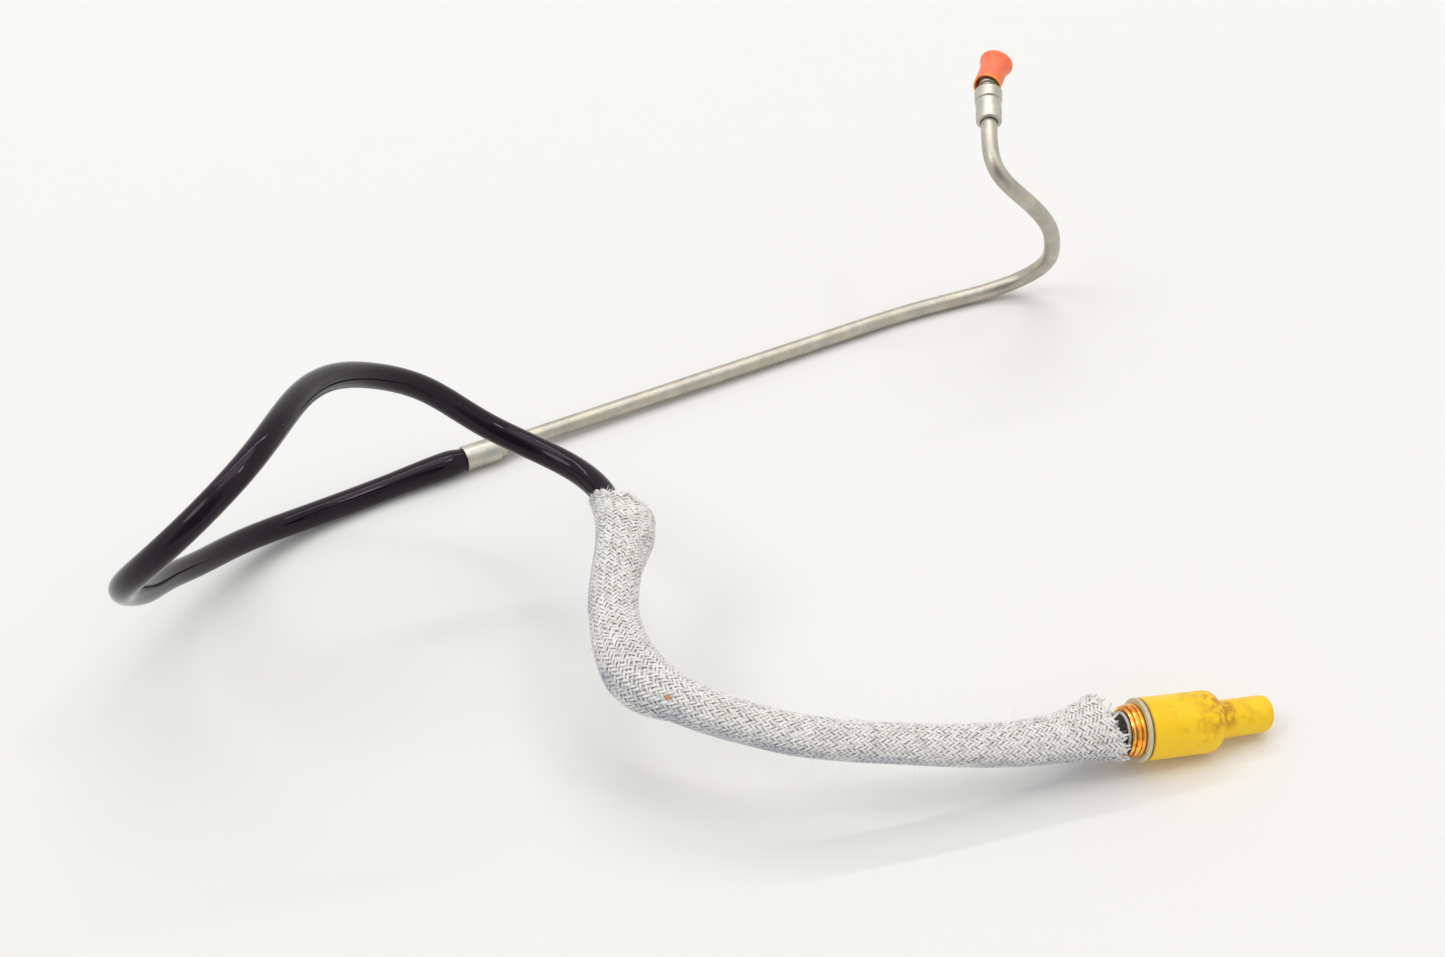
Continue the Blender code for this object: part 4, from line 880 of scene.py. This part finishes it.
def add_red_cap(surface):
    bore, body, head = 0.00445, 0.0052, 0.00645
    length, head_thickness, flare = 0.0132, 0.0015, 0.0045
    under_head = length - head_thickness
    azimuth, rise = math.radians(70.7), math.radians(11.7)
    pivot_place = FITTING_FACE + 0.0040
    lift_off = 0.0004
    droop, droop_reach, droop_turn, oval = 0.0021, 0.0065, 0.15, 0.035
    profile = [
        (0.0, length),
        (head - 0.0012, length - 0.00005, 0.0006),
        (head, length - 0.0003, 0.0005),
        (head, under_head, 0.0005),
        (body + (head - body) * 0.35, under_head - flare * 0.4, 0.002),
        (body, under_head - flare, 0.003),
        (body, 0.0, 0.0003),
        (bore, 0.0, 0.0003),
        (bore, under_head, 0.0005),
        (0.0, under_head),
    ]
    axis = direction(azimuth, rise)
    place = axis_frame(FITTING_FRAME.translation + FITTING_AXIS * pivot_place - axis * lift_off, axis)
    near_side = place.to_3x3().transposed() @ Vector((-0.75, -0.35, -0.55))
    toward = np.array(near_side.xy.normalized())

    def drooped(points):
        """The mouth's near side hangs lower, and the soft wall is a little oval there."""
        radius = np.linalg.norm(points[:, :2], axis=1) + ON_AXIS
        facing = (points[:, :2] @ toward) / radius
        low = np.clip(1 - points[:, 2] / droop_reach, 0, 1) ** 1.5
        moved = points.copy()
        moved[:, 2] -= droop * low * np.clip((facing + droop_turn) / (1 + droop_turn), 0, 1) ** 1.5
        moved[:, :2] *= (1 + oval * low * facing)[:, None]
        return moved

    turned(
        "dust_cap_red", profile, place, surface, "red_cap", "red_plastic", "red_cap",
        closed=False, reshape=drooped, step=0.0007,
    )


# Coupling end


def add_hose_ferrule(surface):
    front, length, lip_width, lip_height, wall = -0.0038, 0.0190, 0.0016, 0.0007, 0.00145
    ribs, dent, fillet = 4, 0.0004, 0.0006
    rear = front - length
    behind = front - lip_width
    bore = HOSE_OD / 2 + FIT
    outer = bore + wall
    lip = outer + lip_height
    profile = [(lip, front, 0.0002), (lip, behind, 0.0006), (outer, behind)]
    pitch = (length - lip_width) / ribs
    for k in range(1, ribs):
        middle = behind - pitch * k
        profile += [(outer, middle + pitch / 4, fillet), (outer - dent, middle, 0.0008)]
        profile.append((outer, middle - pitch / 4, fillet))
    profile += [(outer, rear, 0.0005), (bore, rear), (bore, front)]
    turned("ferrule_black", profile, COUPLING_FRAME, surface, "line", "black_ferrule", "hose_ferrule")


def add_coupling_body(surface):
    front, probe, flange, bead, barrel, recess = 0.0086, 0.0050, 0.0092, 0.0090, 0.0086, 0.0073
    tip, body_front, groove_top, groove_low, groove_depth = 0.0440, 0.0240, 0.0132, 0.0108, 0.0012
    seal_at, seal_half, seal_depth = tip - 0.0055, 0.00095, 0.0009
    flange_end, bead_top, bead_end, barrel_top, rear = -0.0014, -0.0016, -0.0033, -0.0035, -0.0049
    notch = 0.0005
    recess_floor = rear + 0.0014
    shank_end = 0.0070
    chamber, shank, port = 0.0036, 0.0036, 0.0023
    chamber_end = tip - 0.0032
    profile = [
        (probe - 0.0010, tip, 0.0002),
        (probe, tip - 0.0006, 0.0004),
        (probe, seal_at + seal_half, 0.0001),
        (probe - seal_depth, seal_at + seal_half),
        (probe - seal_depth, seal_at - seal_half),
        (probe, seal_at - seal_half, 0.0001),
        (probe, body_front, 0.0004),
        (front, body_front, 0.0006),
        (front, groove_top, 0.0002),
        (front - groove_depth, groove_top, 0.0002),
        (front - groove_depth, groove_low, 0.0002),
        (front, groove_low, 0.0002),
        (front, 0.0, 0.0001),
        (flange, 0.0, 0.0003),
        (flange, flange_end, 0.0006),
        (bead - notch, flange_end),
        (bead - notch, bead_top),
        (bead, bead_top, 0.0008),
        (bead, bead_end, 0.0008),
        (barrel - notch, bead_end),
        (barrel - notch, barrel_top),
        (barrel, barrel_top, 0.0003),
        (barrel, rear, 0.0011),
        (recess, rear, 0.0001),
        (recess, recess_floor),
        (shank, recess_floor),
        (shank, shank_end),
        (chamber, shank_end),
        (chamber, chamber_end),
        (port, chamber_end + (chamber - port)),
        (port, tip, 0.0002),
    ]
    turned(
        "coupling_gold", profile, COUPLING_FRAME, surface, "line", "gold_chromate", "coupling_body",
        step=0.002,
    )


def add_guard_ring(surface):
    bore = 0.0086 + FIT
    outer = bore + 0.0020
    width = 0.0018
    profile = [(outer, width, 0.0005), (outer, FIT, 0.0005), (bore, FIT, 0.0001), (bore, width, 0.0001)]
    turned("ring_grey", profile, COUPLING_FRAME, surface, "line", "guard_ring_grey", "guard_ring")


def add_yellow_cap(surface):
    bore, outer, wall = 0.0091, 0.0107, 0.0016
    nose_bore, nose = 0.0054, 0.00655
    rim, shoulder, root, tip = 0.0022, 0.0250, 0.0315, 0.0505
    nose_end = tip - 0.0013
    droop = math.tan(math.radians(1.3))
    profile = [
        (0.0, tip),
        (nose - 0.0002, tip, 0.0030),
        (nose, root, 0.0022),
        (outer, shoulder + 0.0029, 0.0052),
        (outer, shoulder - 0.0026, 0.0200),
        (outer + 0.00005, rim + 0.0004, 0.0010),
        (outer, rim, 0.0005),
        (bore, rim, 0.0003),
        (bore, shoulder + 0.0013, wall),
        (nose_bore, root - wall / 2, 0.0010),
        (nose_bore, nose_end, wall),
        (0.0, nose_end),
    ]
    up = np.array(COUPLING_FRAME.to_3x3().transposed() @ Vector((0.0, 0.0, 1.0)))

    def softened(points):
        """A soft dipped shape: the nose droops upwards a little, and the wall is slightly uneven."""
        moved = points.copy()
        height = points[:, 2]
        moved += np.outer(droop * np.clip(height - root + 0.002, 0, None), up)
        angle = np.arctan2(points[:, 1], points[:, 0])
        wave = 0.006 * np.sin(2 * angle + 0.7) * np.clip(height / 0.02, 0, 1)
        wave += 0.004 * np.sin(3 * angle + height * 180)
        moved[:, :2] *= (1 + wave * np.clip((height - rim) / 0.004, 0, 1))[:, None]
        return moved

    turned(
        "dust_cap_yellow", profile, COUPLING_FRAME, surface, "yellow_cap", "yellow_plastic", "yellow_cap",
        closed=False, reshape=softened, step=0.0012,
    )


# Heat sleeve


class Sleeve:
    """The braid's surface: a point for each length along it and angle round it."""

    def __init__(self):
        line = hose_line(SLEEVE_STEP)
        first = int(np.argmin(np.linalg.norm(line - np.array(SLEEVE_START), axis=1)))
        line = line[first:]
        self.along = lengths_along(line)
        self.length = self.along[-1] - (SLEEVE_END_GAP - HOSE_END)
        self.side, self.up, self.tangent = carried_frames(line)
        places, diameters, shifts = (np.array(column) for column in zip(*SLEEVE_SHAPE))
        weights = bell(SLEEVE_SOFTENING)
        self.radius = smoothed(np.interp(self.along, places, diameters / 2), weights)
        slack = self.radius - SLEEVE_WALL - HOSE_OD / 2 - SLEEVE_SLACK_LEFT
        shift = np.clip(smoothed(np.interp(self.along, places, shifts), weights), -slack, slack)
        self.outer = unit(np.cross(self.tangent, [0.0, 0.0, 1.0]))
        towards = unit(self.outer - np.array((0.0, 0.0, SLEEVE_SAG)))
        self.centre = line + towards * shift[:, None]
        round_step = 2 * np.pi * self.radius / YARNS
        self.pitch = np.sqrt(np.clip(YARN_CELL**2 - round_step**2, YARN_LEAST_PITCH**2, None))
        steps = np.diff(self.along) / ((self.pitch[1:] + self.pitch[:-1]) / 2)
        self.crossings = np.concatenate([[0.0], np.cumsum(steps)])

    def field(self, values, s):
        if values.ndim == 1:
            return np.interp(s, self.along, values)
        return np.stack([np.interp(s, self.along, values[:, k]) for k in range(3)], axis=-1)

    def out(self, s, angle):
        cosine, sine = np.cos(angle)[..., None], np.sin(angle)[..., None]
        return self.field(self.side, s) * cosine + self.field(self.up, s) * sine

    def point(self, s, angle, lift):
        """Lift is the height above the braid's mean surface. Both ends are cut on a slant."""
        out = self.out(s, angle)
        centre = self.field(self.centre, np.clip(s, 0, self.along[-1]))
        mouth = SLEEVE_MOUTH_SLANT * np.clip(1 - s / SLEEVE_MOUTH_FADE, 0, None)
        tail = SLEEVE_TAIL_SLANT * np.clip(1 - (self.length - s) / SLEEVE_TAIL_FADE, 0, None)
        outer = self.field(self.outer, s)
        slide = mouth * (SLEEVE_MOUTH_SHIFT - (out * outer).sum(-1)) - tail * (out @ SLEEVE_TAIL_SIDE)
        radius = self.field(self.radius, s) - YARN_WAVE - YARN_THICKNESS + lift
        return centre + out * radius[..., None] + self.field(self.tangent, s) * slide[..., None]


def yarn_path(sleeve, hand, number, start, stop):
    """Lengths along the sleeve, angles and lifts of a yarn. Hand, 1 or -1, is the way that it winds."""
    low = np.interp(start, sleeve.along, sleeve.crossings)
    high = np.interp(stop, sleeve.along, sleeve.crossings)
    count = int(round((high - low) / 2 * YARN_STEPS)) + 1
    crossing = np.linspace(low, high, count)
    s = np.interp(crossing, sleeve.crossings, sleeve.along)
    place = number + 0.5 - hand * crossing
    other = number + 0.5 - hand * 2 * crossing
    phase = (number + other - (1 if hand > 0 else 3)) * np.pi / 2
    wave = np.cos(phase)
    lift = YARN_WAVE * np.sign(wave) * np.abs(wave) ** YARN_FLATTENING
    sway = YARN_SWAY * np.sin(s * random_source.uniform(180, 420) + random_source.uniform(0, 6.3))
    return s, 2 * np.pi * (place + sway) / YARNS, lift


def yarn(sleeve, hand, number):
    """A yarn's points and what its material reads at them, in a row for each of its cross-sections."""
    least, most = YARN_END_SPREAD
    start = max(0.0, random_source.uniform(least, most))
    stop = sleeve.length + random_source.uniform(-most, -least)
    s, angle, lift = yarn_path(sleeve, hand, number, start, stop)
    gaps = s - start, stop - s
    for gap, flare in zip(gaps, random_source.uniform(0.0001, 0.0009, 2)):
        lift = lift + flare * np.clip(1 - gap / YARN_FLARE_REACH, 0, 1) ** 2
    path = sleeve.point(s, angle, lift)
    along = unit(np.gradient(path, axis=0))
    out = sleeve.out(s, angle)
    out = unit(out - along * (out * along).sum(1, keepdims=True))
    across = np.cross(along, out)
    round_step = 2 * np.pi * sleeve.field(sleeve.radius, s) / YARNS
    pitch = sleeve.field(sleeve.pitch, s)
    width = YARN_FILL * round_step * pitch / np.hypot(round_step, pitch) / 2
    width = width * (1 + 0.10 * np.sin(s * random_source.uniform(300, 900) + number))
    sideways, upwards = np.array(YARN_SECTION).T
    points = path[:, None] + across[:, None] * (width[:, None] * sideways)[:, :, None]
    points = points + out[:, None] * (YARN_THICKNESS * upwards)[:, None]
    rows = np.ones((len(s), len(YARN_SECTION)))
    lengthways = lengths_along(path)[:, None] * FIBRE_SCALE
    frayed = np.maximum(*[np.clip(1 - gap / reach, 0, 1) for gap, reach in zip(gaps, YARN_FRAYED_REACH)])
    return {
        "points": points,
        "fibre": np.stack([rows * sideways, rows * lengthways, rows * (number * 7.3 + hand)], axis=2),
        "frayed": rows * frayed[:, None],
        # edge, under and shaded are read by the material to paint shade at the yarns' edges, where they dive,
        # and on the side away from the lamps
        "edge": rows * np.abs(sideways),
        "under": rows * (0.5 - lift / YARN_WAVE / 2)[:, None],
        "shaded": rows * (out @ SHADED_SIDE)[:, None],
    }


def add_braid(sleeve, surface):
    """Every yarn of the braid as its own strand, over two and under two of the others."""
    sides = len(YARN_SECTION)
    for hand, label in ((1, "right"), (-1, "left")):
        for half in (0, 1):
            yarns = [yarn(sleeve, hand, number) for number in range(half, YARNS, 2)]
            faces, start = [], 0
            for strand in yarns:
                rings = len(strand["points"])
                faces.extend(tube_faces(rings, sides, True, start))
                start += rings * sides
            fields = {}
            for key in yarns[0]:
                joined = np.concatenate([strand[key] for strand in yarns])
                fields[key] = joined.reshape(-1, *joined.shape[2:])
            mesh_piece(
                f"sleeve_yarns_{label}_{half + 1}", fields.pop("points"), faces, surface, "line",
                "glass_fibre", ["heat_sleeve"], **fields,
            )


def add_plain_fibre(name, points, faces, surface, sides, frayed):
    """A piece of fibre that replaces nothing, with its streaks numbered ring by ring."""
    count = len(points)
    fibre = np.zeros((count, 3))
    fibre[:, 1] = np.arange(count) / sides
    frays = np.full(count, frayed)
    mesh_piece(name, points, faces, surface, "line", "glass_fibre", (), fibre=fibre, frayed=frays)


def add_lining(sleeve, surface):
    """The inner face of the sleeve, which closes the small gaps between the yarns. Its dark grey is painted
    shade in those gaps.
    """
    sides, rings, inset = 72, 190, 0.0012
    s = np.linspace(inset, sleeve.length - inset, rings)
    angles = 2 * np.pi * np.arange(sides) / sides
    grid_s, grid_angle = np.meshgrid(s, angles, indexing="ij")
    lifts = (-0.00016, YARN_WAVE + YARN_THICKNESS - SLEEVE_WALL)
    points = np.concatenate([sleeve.point(grid_s, grid_angle, lift).reshape(-1, 3) for lift in lifts])
    faces = tube_faces(rings, sides, False)
    faces += [face[::-1] for face in tube_faces(rings, sides, False, rings * sides)]
    for end in (0, rings - 1):
        for j in range(sides):
            k = (j + 1) % sides
            a, b = end * sides, (rings + end) * sides
            loop = (a + k, a + j, b + j, b + k)
            faces.append(loop if end == 0 else loop[::-1])
    add_plain_fibre("sleeve_lining", points, faces, surface, sides, 0.0)


def add_strands(name, roots, tangents, lengths, thickness, bend, surface, frayed, segments=5, sides=4):
    """Thin loose fibres. Each starts at its root along its tangent and wanders off as it goes."""
    points, faces, start = [], [], 0
    for root, tangent, length in zip(roots, tangents, lengths):
        drift = random_source.normal(size=3)
        drift = unit((drift - tangent * drift.dot(tangent))[None])[0]
        drift = drift * bend * random_source.uniform(0.3, 1.0)
        curl = random_source.normal(size=3) * bend * 0.35
        t = np.linspace(0.0, 1.0, segments + 1)[:, None]
        line = root + (tangent * t + drift * t**2 + curl * np.sin(t * 5.0) * t) * length
        radii = thickness / 2 * (1 - 0.55 * t[:, 0])
        points.append(tube_points(line, radii, sides))
        faces.extend(tube_faces(len(line), sides, True, start))
        start += len(line) * sides
    add_plain_fibre(name, np.concatenate(points), faces, surface, sides, frayed)


def either_way(amount, slope):
    """A slope to one side or the other for each fibre, as a column."""
    return random_source.choice([-slope, slope], amount)[:, None]


def ways_from(sleeve, s, angle):
    """The ways out of the sleeve, along it and round it."""
    out = sleeve.out(s, angle)
    tangent = sleeve.field(sleeve.tangent, s)
    return out, tangent, np.cross(tangent, out)


def add_frays(sleeve, surface):
    """A fringe of cut fibres at both ends."""
    inset, fray_thickness, fray_bend = 0.0007, 0.00022, 0.40
    for label, end, sign, amount, reach in (
        ("top", inset, -1.0, 300, (0.0008, 0.0026)),
        ("tail", sleeve.length - inset, 1.0, 240, (0.0010, 0.0034)),
    ):
        angle = random_source.uniform(0, 2 * np.pi, amount)
        s = end - sign * random_source.uniform(0.0, 0.0022, amount)
        roots = sleeve.point(s, angle, random_source.uniform(-0.0003, 0.0003, amount))
        out, tangent, round_way = ways_from(sleeve, s, angle)
        slope = either_way(amount, 0.75) + random_source.normal(0, 0.25, (amount, 1))
        lean = random_source.uniform(-0.05, 0.45, (amount, 1))
        tangents = unit(sign * (tangent + round_way * slope) + out * lean)
        lengths = random_source.uniform(*reach, amount)
        add_strands(
            f"sleeve_fray_{label}", roots, tangents, lengths, fray_thickness, fray_bend, surface, frayed=1.0
        )


def add_yarn_ends(sleeve, surface):
    """Whole yarns that stick out of the lower end."""
    amount, thickness, bend = 46, 0.00125, 0.25
    angle = 2 * np.pi * (np.arange(amount) + random_source.uniform(-0.3, 0.3, amount)) / amount
    s = sleeve.length - random_source.uniform(0.0006, 0.0020, amount)
    roots = sleeve.point(s, angle, 0.0)
    out, tangent, round_way = ways_from(sleeve, s, angle)
    slope = either_way(amount, 0.6)
    lean = random_source.uniform(0.05, 0.5, (amount, 1))
    tangents = unit(tangent + round_way * slope + out * lean)
    lengths = random_source.uniform(0.0024, 0.0046, amount)
    add_strands(
        "sleeve_ends_tail", roots, tangents, lengths, thickness, bend, surface, frayed=0.5,
        segments=6, sides=8,
    )


def add_hairs(sleeve, surface):
    """Single fibres that have worked loose along the braid."""
    amount, thickness, bend = 46, 0.00011, 0.5
    s = random_source.uniform(0.01, sleeve.length - 0.01, amount)
    angle = random_source.uniform(0, 2 * np.pi, amount)
    roots = sleeve.point(s, angle, 0.0001)
    out, tangent, _ = ways_from(sleeve, s, angle)
    lean = random_source.uniform(0.3, 1.2, (amount, 1))
    tangents = unit(out * lean + tangent * random_source.normal(0, 1, (amount, 1)))
    lengths = random_source.uniform(0.0014, 0.0046, amount)
    add_strands(
        "sleeve_hairs", roots, tangents, lengths, thickness, bend, surface, frayed=0.4, segments=7, sides=3
    )


# Scene


def add_floor():
    reach = 4.0
    corners = [(-reach, -reach, 0.0), (reach, -reach, 0.0), (reach, reach, 0.0), (-reach, reach, 0.0)]
    mesh = bpy.data.meshes.new("floor")
    mesh.from_pydata(corners, [], [(0, 1, 2, 3)])
    mesh.materials.append(floor_look())
    floor = add_object("floor", mesh)


def dress(node, surface):
    """A CAD node that keeps its shape and gets a finished material."""
    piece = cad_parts[node]
    piece.data.materials.clear()
    piece.data.materials.append(surface)


def main():
    bpy.context.scene.view_settings.view_transform = "Standard"
    add_camera()
    hose, line, length = add_hose(hose_look())
    add_pipe(zinc_look("zinc_pipe_finish", base=(0.54, 0.51, 0.44), tint=0.50))
    add_pipe_ferrule(zinc_look("zinc_ferrule_finish", base=(0.58, 0.565, 0.50), tint=0.75))
    add_fitting(zinc_look("zinc_fitting_finish", base=(0.62, 0.60, 0.53), tint=0.60))
    add_red_cap(red_look())
    add_hose_ferrule(black_metal_look())
    add_coupling_body(gold_look())
    add_guard_ring(ring_look())
    add_yellow_cap(yellow_look())
    sleeve = Sleeve()
    add_braid(sleeve, fibre_look("glass_yarn", pale=(0.97, 0.955, 0.925), shade=(0.76, 0.745, 0.715)))
    # painted shade: the lining is dark grey, as the gaps between the yarns look in shade
    add_lining(sleeve, fibre_look("glass_lining_painted_shade", pale=(0.36, 0.35, 0.335), shade=(0.23, 0.225, 0.215)))
    loose = fibre_look("glass_frays", pale=(0.93, 0.91, 0.87), shade=(0.66, 0.64, 0.60))
    add_frays(sleeve, loose)
    add_yarn_ends(sleeve, loose)
    add_hairs(sleeve, fibre_look("glass_hairs", pale=(0.62, 0.62, 0.62), shade=(0.40, 0.40, 0.40)))
    inner = zinc_look("zinc_inner_finish", base=(0.52, 0.51, 0.46), tint=0.2)
    for node in ("hose_nipple", "spring_seat", "valve_poppet"):
        dress(node, inner)
    dress("valve_spring", spring_look())
    for node in ("probe_seal", "poppet_seal"):
        dress(node, rubber_look())
    add_floor()
    add_world(ambient=0.635)
    add_sun("overhead", towards=(0.05, 0.12, 1.0), share=0.17, spread_degrees=42.0)
    add_sun("glint", towards=(0.45, -0.10, 0.85), share=0.04, spread_degrees=8.0)
    add_sun("left", towards=(-0.55, -0.30, 0.80), share=0.12, spread_degrees=26.0)
    add_strip("back_strip", place=(-0.25, 0.95, 2.00), size=(2.6, 0.05), power=7.5)


main()
